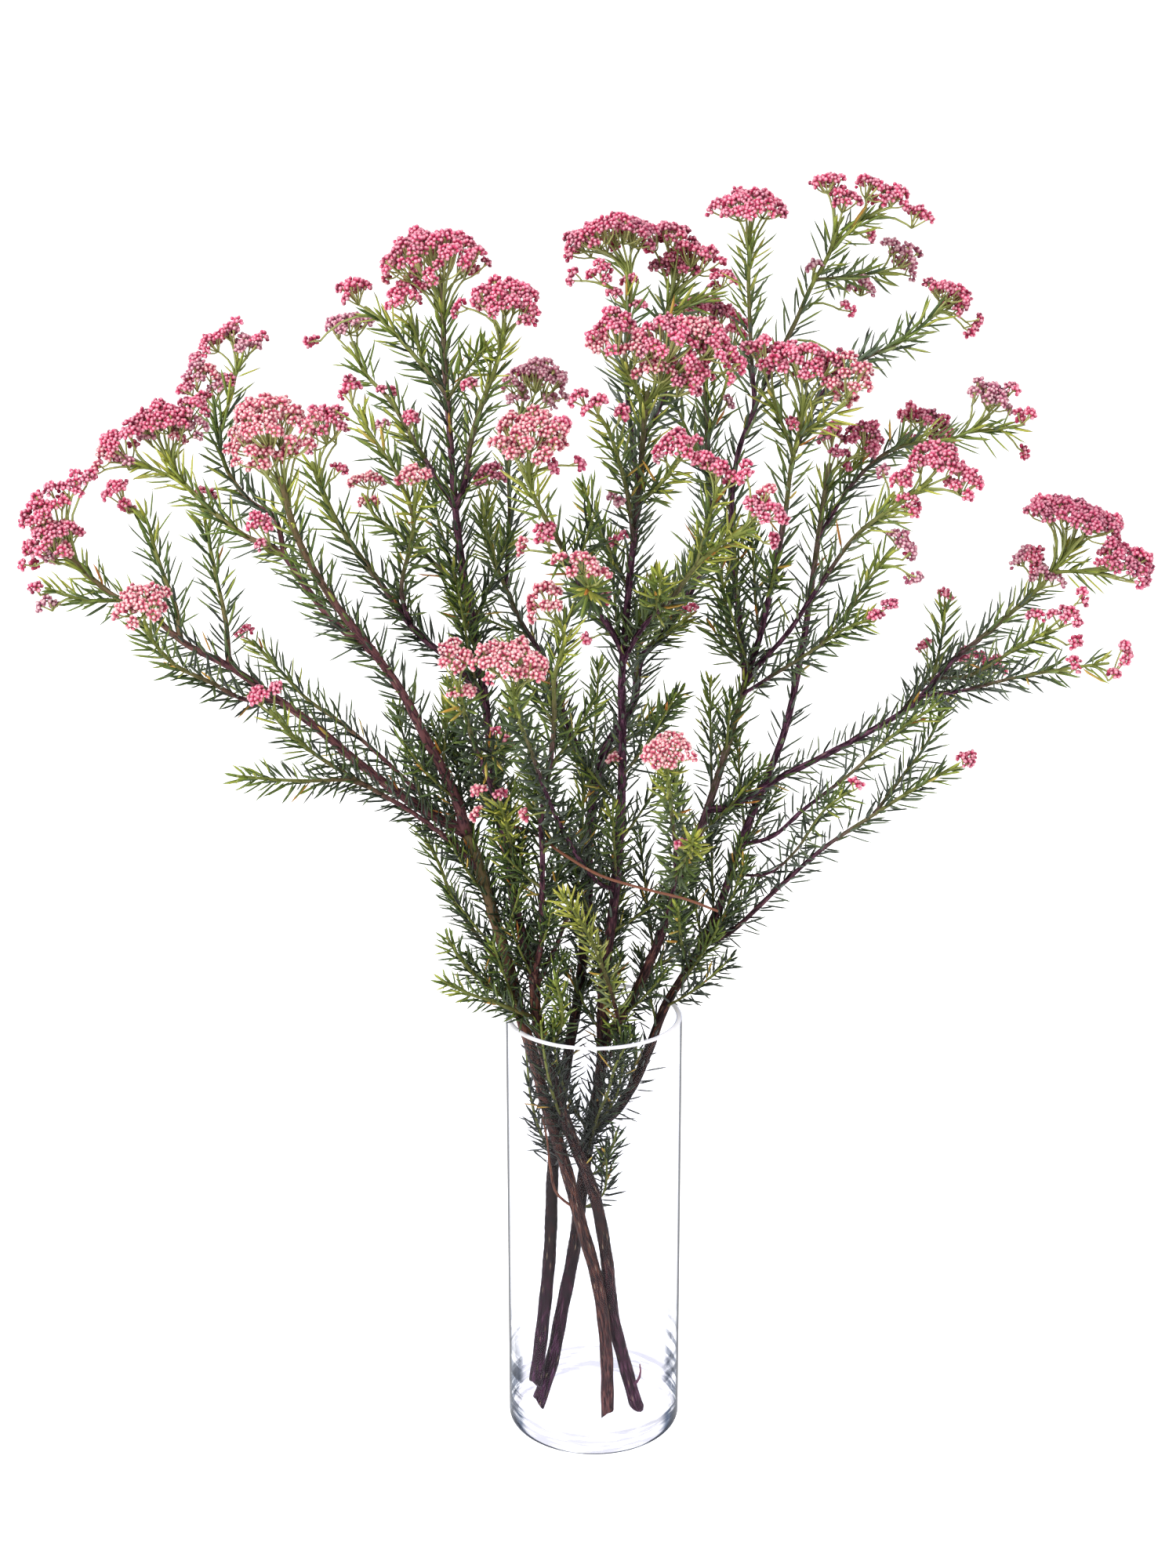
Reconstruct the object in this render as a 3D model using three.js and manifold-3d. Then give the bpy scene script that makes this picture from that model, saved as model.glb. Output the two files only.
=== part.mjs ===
// Four cut stems of pink rice flower in a clear glass cylinder vase.
// Millimetres, +Z up, origin at the middle of the vase's foot, front of the vase towards -Y.
import * as THREE from "three";
import { mergeVertices } from "three/addons/utils/BufferGeometryUtils.js";
import Module from "manifold-3d";

// Driving dimensions, in millimetres and degrees
const vase = { radius: 50, height: 256, wall: 3.5, floor: 13, heel: 5, insideHeel: 4, sides: 28 };
const needle = { length: 17.5, width: 2, thickness: 1.3, waist: 0.42, angle: 42, pitch: 32.5, bow: 0.14 };
const rootSink = 0.7; // how far leaves and small heads start behind the wood's middle, in wood radii
const pedicel = { radius: 0.9, neck: 0.75, sink: 0.4, clear: 0.5, stagger: 2.6, waist: 0.45, spread: 0.55 };
const dome = { budSpacing: 9.9, relief: 0.9, lobes: 0.09, rise: 0.62, peak: 0.66, hang: 0.38, cup: 0.6 };
const gap = { head: 0.35, wood: 2.2, needle: 2.2, glass: 1.2, budding: 2.5 };
const leafTurns = [0, 0.9, -0.9, 1.8, -1.8]; // other places round the twig where a leaf may find room
const wood = { sag: 2.4, sides: 5, twigSides: 3, twigRadius: 1.9, mostSteps: 24, searchSteps: 160 };
const leafStart = 1440; // picture height where the leaves begin, a third of the way up inside the vase
const weldSteps = [0.002, 0.005, 0.01, 0.02, 0.035, 0.05]; // how near two vertices are made one
const goldenAngle = THREE.MathUtils.degToRad(137.5);

// The eye that the routes below are drawn for: a level view tipped down, with its distance in front
// of the vase's axis, its height over the foot and its focal length in picture points.
const eye = { side: -3.4, distance: 1385, height: 825, focal: 3356, middle: [750, 1000] };
const eyeTilt = THREE.MathUtils.degToRad(17.35);

// Main stems: picture points from the cut end up, the radius at both ends,
// and [picture height, depth] pairs that say how far behind the vase's axis the stem is.
const mainStems = {
  left: {
    radii: [3.8, 3.1],
    depths: [[1810, -30], [1560, -20], [1297, -4], [1060, -14]],
    seen: [
      [775, 1809.5], [773, 1720], [763, 1640], [741, 1560], [719, 1480], [697, 1410],
      [681, 1350], [665, 1297], [652, 1242], [625, 1152], [601, 1077], [593, 1060],
    ],
  },
  middle: {
    radii: [4, 1.4],
    depths: [[1799, -21], [1520, -19], [1295, -18], [1100, -10], [900, 5], [350, 10]],
    seen: [
      [813, 1798.3], [797, 1740], [782, 1680], [773, 1600], [757, 1520], [731, 1455], [705, 1380],
      [684, 1295], [680, 1242], [660, 1170], [648, 1100], [632, 1000], [622, 920], [610, 830],
      [593, 742], [582, 660], [574, 557], [567, 465], [564, 375], [561, 352],
    ],
  },
  right: {
    radii: [4.2, 1.3],
    depths: [[1796, -18], [1600, -1], [1445, 3], [1290, 5], [1100, 0], [800, -15], [500, -55]],
    seen: [
      [685, 1794], [703, 1740], [717, 1670], [731, 1600], [742, 1520], [752, 1445], [767, 1360],
      [768, 1290], [772, 1232], [781, 1170], [787, 1107], [792, 1030], [794, 957], [793, 870],
      [799, 785], [806, 710], [815, 630], [822, 535], [826, 500],
    ],
  },
  rear: {
    radii: [4, 1.4],
    depths: [[1775, -25], [1640, -10], [1480, 2], [1275, 18], [1050, 35], [900, 50], [440, 110]],
    seen: [
      [682, 1772], [691, 1700], [701, 1600], [706, 1480], [716, 1400], [727, 1330], [737, 1275],
      [750, 1150], [752, 1050], [772, 955], [807, 900], [818, 840], [845, 810], [885, 745],
      [902, 670], [902, 547], [900, 500], [902, 430],
    ],
  },
};

// Side branches: [name, what it grows from, depth at its tip, root radius, tip radius, picture points].
const sideBranches = [
  ["longLeft", "left", -45, 2.9, 1.2, [[593, 1060], [560, 1045], [520, 1020], [462, 977], [400, 925],
    [340, 882], [292, 850], [235, 820], [185, 778], [140, 757], [110, 730], [85, 705]]],
  ["tailTwig", "longLeft", -60, 1.1, 0.8, [[157, 765], [110, 766], [80, 757], [58, 750]]],
  ["curvedShoot", "longLeft", -20, 1.4, 0.9, [[232, 815], [225, 777], [210, 737], [197, 700],
    [185, 660], [168, 648]]],
  ["uprightShoot", "longLeft", 5, 1.4, 0.9, [[292, 850], [289, 800], [275, 732], [262, 668], [260, 648]]],
  ["lowShoot", "longLeft", -110, 1.4, 1, [[355, 895], [312, 892], [272, 872], [222, 847], [195, 817],
    [184, 792]]],
  ["innerShoot", "left", 40, 1.5, 0.9, [[598, 1070], [565, 1045], [530, 1007], [480, 960], [435, 922],
    [392, 892], [357, 855], [322, 818]]],
  ["frontShoot", "left", -75, 1.6, 1, [[612, 1110], [585, 1082], [527, 1037], [467, 1002], [402, 962],
    [365, 930], [345, 906]]],
  ["bareShoot", "frontShoot", -100, 1.2, 0.8, [[467, 1003], [440, 995], [400, 996], [360, 995],
    [303, 990]]],
  ["tallLeft", "left", -105, 2.9, 1.5, [[593, 1060], [585, 1027], [565, 982], [542, 940], [515, 887],
    [475, 830], [440, 787], [405, 735], [377, 680], [358, 610]]],
  ["upperLeft", "tallLeft", 0, 2, 1.2, [[475, 830], [430, 797], [385, 742], [360, 707], [310, 682],
    [260, 642], [222, 600], [212, 575]]],
  ["upperTwig", "upperLeft", -15, 1.1, 0.8, [[235, 615], [200, 600], [172, 592]]],
  ["shortShoot", "upperLeft", -35, 1.1, 0.9, [[360, 707], [345, 705], [338, 700]]],
  ["backLeft", "upperLeft", 60, 1.5, 1, [[362, 712], [350, 660], [320, 640], [290, 600], [278, 555],
    [272, 505]]],
  ["backLeftTwig", "backLeft", 70, 1, 0.8, [[280, 560], [296, 500], [305, 458]]],
  ["lowLeftA", "left", 15, 1.4, 0.8, [[652, 1242], [610, 1195], [577, 1145], [560, 1102], [535, 1055]]],
  ["lowLeftB", "left", -40, 1.3, 0.8, [[657, 1265], [620, 1255], [587, 1222], [570, 1195]]],

  ["acrossRim", "middle", -60, 1.3, 0.8, [[684, 1300], [660, 1290], [627, 1277], [597, 1267],
    [563, 1250]]],
  ["rimShoot", "middle", -40, 1.2, 0.8, [[697, 1340], [712, 1320], [717, 1290], [709, 1250]]],
  ["middleLeft", "middle", -20, 2, 1.2, [[618, 890], [577, 845], [530, 805], [490, 750], [447, 692],
    [415, 637], [398, 590]]],
  ["steepShoot", "middleLeft", -70, 1.3, 0.9, [[520, 795], [512, 750], [520, 710], [527, 675],
    [530, 628]]],
  ["besideShoot", "steepShoot", -45, 1.1, 0.8, [[527, 660], [505, 602], [485, 572], [465, 540],
    [457, 516]]],
  ["topLeft", "middle", 35, 1.4, 1, [[567, 500], [542, 470], [510, 432], [490, 412], [466, 392]]],
  ["topLeftTwig", "topLeft", 5, 1, 0.8, [[540, 467], [530, 425], [520, 402]]],
  ["leafyTwig", "middle", -30, 1, 0.7, [[575, 510], [587, 485], [597, 470], [622, 440]]],
  ["topRight", "middle", -35, 1.7, 1.1, [[582, 645], [592, 620], [602, 557], [615, 515], [630, 475],
    [640, 440], [644, 412]]],
  ["midRise", "middle", 75, 1.5, 1, [[580, 645], [555, 607], [525, 557], [497, 510], [465, 475],
    [450, 436]]],
  ["midPale", "midRise", 20, 1, 0.8, [[540, 585], [527, 565], [522, 552]]],
  ["lowRise", "middle", 45, 1.5, 0.9, [[591, 750], [560, 725], [530, 695], [480, 660], [462, 630]]],
  ["frontRise", "middle", -140, 1.5, 1, [[640, 1050], [625, 1000], [605, 950], [590, 900], [582, 870]]],
  ["yellowTip", "middle", -60, 1.1, 0.8, [[650, 1140], [655, 1095], [645, 1050], [637, 1022]]],
  ["centreRise", "middle", -85, 1.7, 1, [[681, 1245], [691, 1200], [691, 1145], [692, 1095],
    [690, 1045], [702, 975], [707, 912], [707, 865], [720, 812], [708, 785]]],
  ["redRise", "middle", 5, 1.4, 0.8, [[683, 1262], [715, 1192], [737, 1120], [742, 1060], [745, 985]]],
  ["deadTwig", "middle", -175, 0.9, 0.7, [[640, 1050], [680, 1062], [715, 1087], [762, 1115],
    [815, 1132], [875, 1147], [915, 1162]]],

  ["greyTwig", "right", -150, 1.3, 0.9, [[780, 1137], [765, 1127], [740, 1098], [712, 1047],
    [693, 1003], [677, 957], [660, 912], [654, 872]]],
  ["leftTall", "right", -95, 1.8, 1.1, [[793, 830], [775, 797], [755, 770], [732, 730], [715, 695],
    [695, 660], [678, 625], [674, 588]]],
  ["leftTallTwig", "leftTall", -125, 1, 0.8, [[755, 770], [750, 748]]],
  ["leftTallSide", "leftTall", -70, 1, 0.8, [[722, 710], [705, 705]]],
  ["slimShoot", "right", -75, 1.2, 0.9, [[809, 690], [800, 630], [787, 580], [775, 547], [765, 531]]],
  ["besideHead", "right", -75, 1.1, 0.9, [[814, 640], [835, 625], [862, 594]]],
  ["boughLeft", "right", -62, 1.2, 1, [[824, 520], [808, 490], [793, 458]]],
  ["boughRight", "right", -62, 1.3, 1, [[825, 515], [845, 490], [855, 474]]],
  ["darkRise", "right", 45, 1.5, 1, [[815, 630], [806, 560], [800, 500], [797, 450], [802, 400],
    [803, 350], [785, 322]]],
  ["darkTwig", "darkRise", 20, 0.9, 0.7, [[802, 400], [790, 375], [772, 362]]],
  ["rightRise", "right", 70, 1.5, 1, [[820, 560], [848, 500], [852, 440], [850, 400], [862, 362]]],
  ["rightRiseTwig", "rightRise", 60, 0.9, 0.8, [[851, 405], [885, 385], [915, 370]]],
  ["brightStem", "right", -85, 1.5, 1, [[793, 845], [820, 800], [860, 760], [885, 725], [925, 690],
    [962, 674]]],
  ["brightTwig", "brightStem", -80, 1, 0.8, [[890, 722], [905, 660], [916, 622]]],
  ["outerRise", "right", 25, 3, 1.8, [[775, 1330], [797, 1290], [832, 1220], [862, 1140], [890, 1067],
    [917, 987], [945, 892], [952, 865]]],
  ["forkRight", "outerRise", -30, 1.7, 1.1, [[952, 868], [970, 810], [986, 735], [1000, 667],
    [1010, 590], [1020, 547], [1026, 505]]],
  ["forkRightOuter", "forkRight", -40, 1, 0.8, [[1018, 555], [1050, 535], [1078, 516]]],
  ["forkRightInner", "forkRight", -25, 1, 0.8, [[1012, 580], [992, 525], [980, 492]]],
  ["forkLeft", "outerRise", 70, 1.7, 1.1, [[952, 868], [947, 825], [940, 760], [932, 700], [940, 585],
    [960, 527], [990, 460], [1015, 410], [1035, 365], [1057, 325], [1070, 284]]],
  ["forkLeftArc", "forkLeft", 85, 1, 0.8, [[1060, 318], [1095, 285], [1125, 265]]],
  ["forkLeftSide", "forkLeft", 110, 1, 0.8, [[1040, 357], [1090, 352], [1133, 345]]],
  ["paleStem", "forkLeft", 15, 1.2, 0.9, [[963, 520], [957, 425], [955, 360], [957, 280]]],
  ["leafyRight", "forkLeft", -10, 1, 0.7, [[946, 825], [930, 802], [921, 740], [912, 710]]],
  ["outerTwig", "outerRise", -45, 1.1, 0.8, [[947, 885], [985, 862], [1025, 837], [1082, 800],
    [1110, 790]]],
  ["brightOuter", "outerRise", -60, 1.5, 1, [[952, 868], [980, 835], [1005, 807], [1050, 740],
    [1095, 680], [1150, 640], [1188, 612]]],
  ["brightOuterTwig", "brightOuter", -20, 1, 0.8, [[1100, 677], [1125, 655], [1142, 632]]],
  ["beyondRise", "forkRight", 85, 1.2, 0.9, [[1012, 575], [1050, 500], [1095, 462], [1155, 432],
    [1205, 388]]],
  ["farRight", "outerRise", 0, 2, 1.2, [[903, 1030], [930, 1030], [985, 997], [1045, 967], [1102, 937],
    [1162, 900], [1217, 842], [1280, 790], [1337, 737], [1372, 688]]],
  ["farRightOuter", "farRight", -15, 1, 0.8, [[1345, 730], [1385, 728], [1412, 728]]],
  ["farRightMiddle", "farRight", -45, 1.1, 0.9, [[1195, 868], [1235, 862], [1300, 825], [1340, 803]]],
  ["farRightLow", "farRight", -70, 1.1, 0.8, [[1175, 888], [1222, 882], [1297, 864], [1380, 850],
    [1414, 846]]],
  ["farRightBack", "farRight", 65, 1.1, 0.8, [[1150, 907], [1180, 870], [1225, 856], [1262, 862]]],
  ["farRightTiny", "farRight", 35, 0.9, 0.7, [[1190, 875], [1200, 820], [1206, 768]]],
  ["frontStalk", "outerRise", -125, 1.3, 0.9, [[847, 1190], [855, 1152], [862, 1107], [859, 1057],
    [852, 990], [851, 970]]],
  ["leafyCrown", "frontStalk", -95, 1, 0.7, [[861, 1120], [872, 1100], [885, 1070]]],
  ["lowerRise", "right", 45, 3, 1.4, [[753, 1440], [787, 1415], [812, 1375], [829, 1335], [850, 1280],
    [880, 1232], [920, 1150], [942, 1082], [972, 1007], [1000, 935], [1022, 835], [1037, 735],
    [1050, 642], [1058, 592]]],
  ["lowerRiseTwig", "lowerRise", 70, 1, 0.8, [[1052, 625], [1085, 600], [1102, 586]]],
  ["beyondRight", "lowerRise", 60, 1.3, 0.9, [[1045, 685], [1085, 620], [1130, 578], [1165, 566],
    [1222, 557], [1262, 532]]],
  ["beyondRightEnd", "beyondRight", 45, 0.9, 0.7, [[1235, 551], [1270, 548], [1295, 543]]],
  ["beyondRightSide", "beyondRight", 84, 0.8, 0.7, [[1130, 578], [1158, 562], [1180, 554]]],
  ["lowerLeafy", "lowerRise", -30, 1.3, 0.8, [[945, 1080], [985, 1067], [1022, 1035], [1087, 985],
    [1140, 937], [1197, 897]]],
  ["lowerSparse", "lowerRise", -60, 0.9, 0.7, [[933, 1115], [980, 1114], [1015, 1085], [1050, 1035],
    [1084, 1008]]],
  ["lowOuter", "lowerRise", -10, 1.6, 0.9, [[893, 1208], [930, 1190], [990, 1135], [1050, 1082],
    [1110, 1042], [1160, 1010], [1222, 975]]],
  ["lowOuterSide", "lowOuter", 30, 1.1, 0.7, [[1115, 1040], [1155, 985], [1180, 952], [1210, 890]]],
  ["brightFront", "right", -60, 1.3, 0.8, [[767, 1362], [783, 1338], [788, 1305], [777, 1257],
    [750, 1192], [716, 1138]]],
  ["shortStalk", "lowerRise", -40, 1, 0.7, [[878, 1235], [870, 1207], [865, 1157]]],
  ["lowTwig", "right", -8, 1, 0.7, [[746, 1500], [762, 1495], [780, 1465], [787, 1442]]],

  ["rearLeft", "rear", 70, 1.8, 1, [[753, 1010], [735, 950], [715, 900], [700, 850], [667, 797],
    [645, 750], [620, 687], [622, 625]]],
  ["rearPurple", "rearLeft", 130, 1.3, 1, [[645, 750], [650, 660], [650, 580], [668, 520]]],
  ["rearTwig", "rear", 95, 1, 0.8, [[901, 560], [920, 510], [932, 468]]],
  ["rearSide", "rear", 40, 1, 0.8, [[830, 825], [860, 800], [876, 790]]],
];

// Flower heads: [branch that carries it, tint, domes as [picture x, picture y, width, thickness]].
const heads = [
  ["longLeft", "pink", [[66, 692, 28, 13], [52, 655, 19, 12]]],
  ["curvedShoot", "pink", [[152, 632, 17, 13]]],
  ["lowShoot", "light", [[182, 769, 28, 10]]],
  ["tallLeft", "light", [[343, 553, 46, 26], [340, 590, 20, 14]]],
  ["upperLeft", "pink", [[215, 541, 32, 11]]],
  ["upperTwig", "pink", [[152, 572, 19, 15]]],
  ["shortShoot", "pink", [[338, 680, 17, 14]]],
  ["backLeft", "dull", [[250, 480, 16, 16]]],
  ["backLeftTwig", "dull", [[300, 436, 16, 11]]],

  ["middle", "pink", [[555, 330, 56, 19]]],
  ["middleLeft", "pink", [[415, 548, 29, 18]]],
  ["steepShoot", "light", [[528, 609, 17, 6]]],
  ["besideShoot", "pink", [[447, 500, 15, 12]]],
  ["topLeft", "pink", [[452, 375, 18, 11]]],
  ["topLeftTwig", "pink", [[512, 382, 21, 9]]],
  ["topRight", "pink", [[646, 387, 38, 15]]],
  ["midRise", "dull", [[445, 416, 28, 9]]],
  ["lowRise", "light", [[468, 615, 19, 6]]],
  ["frontRise", "light", [[578, 846, 20, 14]]],
  ["centreRise", "light", [[697, 768, 19, 14]]],

  ["greyTwig", "light", [[655, 845, 33, 11]]],
  ["leftTall", "light", [[676, 560, 40, 17]]],
  ["leftTallTwig", "light", [[744, 722, 17, 9]]],
  ["leftTallSide", "pink", [[697, 687, 14, 12]]],
  ["besideHead", "pink", [[868, 573, 26, 9]]],
  ["boughLeft", "pink", [[785, 430, 26, 18]]],
  ["boughRight", "pink", [[855, 442, 38, 22], [886, 478, 21, 12]]],
  ["darkRise", "pink", [[775, 302, 46, 12]]],
  ["rightRise", "dark", [[852, 306, 30, 12], [882, 332, 32, 12]]],
  ["brightStem", "pink", [[977, 655, 23, 9]]],
  ["brightTwig", "pink", [[915, 603, 16, 11]]],
  ["forkRight", "pink", [[1023, 470, 33, 18]]],
  ["forkRightOuter", "light", [[1087, 487, 22, 20]]],
  ["forkRightInner", "pink", [[974, 460, 20, 18]]],
  ["forkLeft", "pink", [[1076, 258, 18, 9], [1057, 236, 21, 8]]],
  ["forkLeftArc", "pink", [[1112, 243, 20, 9], [1143, 254, 19, 9], [1168, 279, 15, 9]]],
  ["forkLeftSide", "dull", [[1150, 332, 21, 10]]],
  ["paleStem", "pink", [[956, 263, 42, 8]]],
  ["brightOuter", "pink", [[1196, 588, 30, 8], [1228, 615, 22, 12]]],
  ["beyondRise", "pink", [[1207, 376, 29, 7]]],
  ["beyondRight", "dull", [[1262, 509, 29, 11]]],
  ["beyondRightSide", "dark", [[1184, 543, 29, 11]]],
  ["farRight", "dark", [[1372, 660, 52, 10]]],
  ["farRightOuter", "pink", [[1438, 720, 34, 10]]],
  ["farRightMiddle", "pink", [[1358, 789, 16, 10]]],
  ["farRightLow", "pink", [[1430, 846, 12, 16]]],
  ["frontStalk", "light", [[852, 957, 27, 6]]],
  ["lowerRise", "dark", [[1060, 563, 20, 14], [1102, 561, 24, 13]]],

  ["rearLeft", "dark", [[625, 606, 22, 8]]],
  ["rearPurple", "dull", [[685, 488, 36, 18]]],
  ["rear", "dark", [[895, 396, 31, 9]]],
  ["rearTwig", "pink", [[935, 432, 22, 20]]],
];

// Heads of a few buds, fused to their twigs: [branch, picture x, picture y, width].
const smallHeads = [
  ["longLeft", 88, 624, 12], ["tailTwig", 46, 752, 9], ["uprightShoot", 261, 626, 10],
  ["innerShoot", 312, 807, 8], ["frontShoot", 352, 877, 7], ["frontShoot", 330, 890, 14],
  ["backLeft", 290, 487, 9],
  ["backLeftTwig", 334, 434, 10], ["topLeft", 400, 438, 9], ["topRight", 600, 491, 10],
  ["topRight", 590, 388, 8], ["frontRise", 642, 944, 11], ["yellowTip", 636, 1012, 8],
  ["darkRise", 800, 362, 10], ["midPale", 522, 538, 13],
  ["slimShoot", 762, 519, 14], ["darkTwig", 766, 350, 14], ["rightRiseTwig", 921, 357, 14],
  ["slimShoot", 792, 692, 9], ["leftTall", 770, 765, 9],
  ["forkLeft", 1078, 395, 8], ["forkLeftSide", 1103, 367, 12], ["brightOuterTwig", 1152, 616, 11],
  ["brightOuterTwig", 1152, 700, 10], ["outerTwig", 1118, 785, 8], ["beyondRightEnd", 1307, 531, 13],
  ["beyondRise", 1240, 411, 9], ["farRightBack", 1270, 848, 12], ["farRight", 1325, 722, 12],
  ["farRightTiny", 1205, 757, 6], ["lowerSparse", 1092, 1000, 8], ["lowOuter", 1232, 969, 11],
  ["leafyCrown", 868, 1078, 6], ["brightStem", 983, 686, 11], ["rearSide", 877, 776, 9],
];

const colours = {
  glass: { color: 0xeef3f6, roughness: 0.02, metalness: 0 },
  left: { color: 0x4c5a31, roughness: 0.75, metalness: 0 },
  middle: { color: 0x53652f, roughness: 0.75, metalness: 0 },
  right: { color: 0x5a6c32, roughness: 0.75, metalness: 0 },
  rear: { color: 0x46532e, roughness: 0.78, metalness: 0 },
  pink: { color: 0xd2547a, roughness: 0.6, metalness: 0 },
  light: { color: 0xe48ba0, roughness: 0.6, metalness: 0 },
  dark: { color: 0xb5365f, roughness: 0.6, metalness: 0 },
  dull: { color: 0xa4526f, roughness: 0.65, metalness: 0 },
};

const wasm = await Module();
wasm.setup();
const up = new THREE.Vector3(0, 0, 1);

// Seeded draw of numbers from 0 to 1, the same in every run.
let drawState = 20417;
function draw() {
  drawState = (drawState * 1664525 + 1013904223) % 4294967296;
  return drawState / 4294967296;
}

// Where a picture point lies in space, once its depth behind the vase's axis is known.
function inSpace([across, down], depth) {
  const side = (across - eye.middle[0]) / eye.focal;
  const rise = (eye.middle[1] - down) / eye.focal;
  const forward = Math.cos(eyeTilt) + rise * Math.sin(eyeTilt);
  const upward = rise * Math.cos(eyeTilt) - Math.sin(eyeTilt);
  const reach = (depth + eye.distance) / forward;
  return new THREE.Vector3(eye.side + reach * side, depth, eye.height + reach * upward);
}

// Depth of a main stem at a picture height, straight between its [height, depth] pairs.
function depthAt(pairs, down) {
  const after = Math.max(1, pairs.findIndex(([height]) => height <= down));
  const [low, lowDepth] = pairs[after - 1];
  const [high, highDepth] = pairs[after];
  return lowDepth + ((highDepth - lowDepth) * (low - down)) / (low - high);
}

// A closed solid from rings of equal size between two end points.
function loft(start, rings, end) {
  const count = rings[0].length;
  const points = [start, ...rings.flat(), end];
  const last = points.length - 1;
  const faces = [];
  for (let i = 0; i < count; i++) {
    const next = (i + 1) % count;
    faces.push(0, 1 + next, 1 + i);
    for (let r = 0; r + 1 < rings.length; r++) {
      const a = 1 + r * count;
      faces.push(a + i, a + next, a + count + next, a + i, a + count + next, a + count + i);
    }
    faces.push(last, last - count + i, last - count + next);
  }
  const vertProperties = new Float32Array(points.flatMap((p) => [p.x, p.y, p.z]));
  return new wasm.Manifold(new wasm.Mesh({ numProp: 3, vertProperties, triVerts: new Uint32Array(faces) }));
}

// A ring of points round an axis, with an optional flattening along its second side.
function ring(centre, side, other, radius, count, flat = 1) {
  return Array.from({ length: count }, (_, i) => {
    const angle = (2 * Math.PI * i) / count;
    return centre
      .clone()
      .addScaledVector(side, radius * Math.cos(angle))
      .addScaledVector(other, radius * flat * Math.sin(angle));
  });
}

// Two directions square to a given one, so that side x other = direction.
function square(direction) {
  const helper = Math.abs(direction.z) < 0.9 ? up : new THREE.Vector3(1, 0, 0);
  const side = new THREE.Vector3().crossVectors(helper, direction).normalize();
  return [side, new THREE.Vector3().crossVectors(direction, side).normalize()];
}

// Every branch as a curve in space with its radii and the stem that it belongs to.
const branches = new Map();

// How far a curve bulges from straight pieces between equal steps.
function sagOf(curve, steps) {
  let most = 0;
  for (let i = 0; i < steps; i++) {
    const middle = curve.getPointAt(i / steps).lerp(curve.getPointAt((i + 1) / steps), 0.5);
    most = Math.max(most, middle.distanceTo(curve.getPointAt((i + 0.5) / steps)));
  }
  return most;
}

// A branch keeps its smooth curve and the straight pieces that its wood follows, with as few as look right.
function keepBranch(name, stem, points, radii) {
  const curve = new THREE.CatmullRomCurve3(points, false, "centripetal");
  let steps = 1;
  while (steps < wood.mostSteps && sagOf(curve, steps) > wood.sag) steps++;
  const joints = curve.getSpacedPoints(steps);
  branches.set(name, { name, stem, curve, radii, joints, length: curve.getLength() });
}

// A point on the middle line of a branch's wood, by its share of the length.
function middleAt({ joints }, share) {
  const place = share * (joints.length - 1);
  const before = Math.min(Math.floor(place), joints.length - 2);
  return joints[before].clone().lerp(joints[before + 1], place - before);
}

// The share of a branch at which a distance, worked out for each point, is least.
function shareOfLeast(branch, distanceOf) {
  const shares = Array.from({ length: wood.searchSteps + 1 }, (_, i) => i / wood.searchSteps);
  const distances = shares.map((share) => distanceOf(middleAt(branch, share)));
  return shares[distances.indexOf(Math.min(...distances))];
}

// The share of a branch where it passes a picture point, compared at the branch's own depth.
function shareSeenAt(branch, seen) {
  return shareOfLeast(branch, (point) => point.distanceTo(inSpace(seen, point.y)));
}

for (const [name, { seen, depths, radii }] of Object.entries(mainStems)) {
  keepBranch(name, name, seen.map((point) => inSpace(point, depthAt(depths, point[1]))), radii);
}

for (const [name, parentName, tipDepth, rootRadius, tipRadius, seen] of sideBranches) {
  const parent = branches.get(parentName);
  const root = middleAt(parent, shareSeenAt(parent, seen[0]));
  const lengths = [0];
  for (let i = 1; i < seen.length; i++) {
    lengths.push(lengths[i - 1] + Math.hypot(seen[i][0] - seen[i - 1][0], seen[i][1] - seen[i - 1][1]));
  }
  const points = seen.slice(1).map((point, i) => {
    return inSpace(point, root.y + ((tipDepth - root.y) * lengths[i + 1]) / lengths.at(-1));
  });
  keepBranch(name, parent.stem, [root, ...points], [rootRadius, tipRadius]);
}

function radiusAt(branch, share) {
  return THREE.MathUtils.lerp(branch.radii[0], branch.radii[1], share);
}

// A branch's wood: a tapered tube with few sides, which runs on to the head that it carries.
function woodOf(branch) {
  const { name, curve, joints, radii } = branch;
  const sides = radii[0] > wood.twigRadius ? wood.sides : wood.twigSides;
  const rings = joints.map((joint, i) => {
    const share = i / (joints.length - 1);
    const [side, other] = square(curve.getTangentAt(share));
    return ring(joint, side, other, radiusAt(branch, share), sides);
  });
  const carried = headList.find((head) => head.branchName === name);
  const bare = joints.at(-1).clone().addScaledVector(curve.getTangentAt(1), radii[1]);
  return loft(joints[0], rings, carried ? underside(carried.domes[0]) : bare);
}

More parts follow.
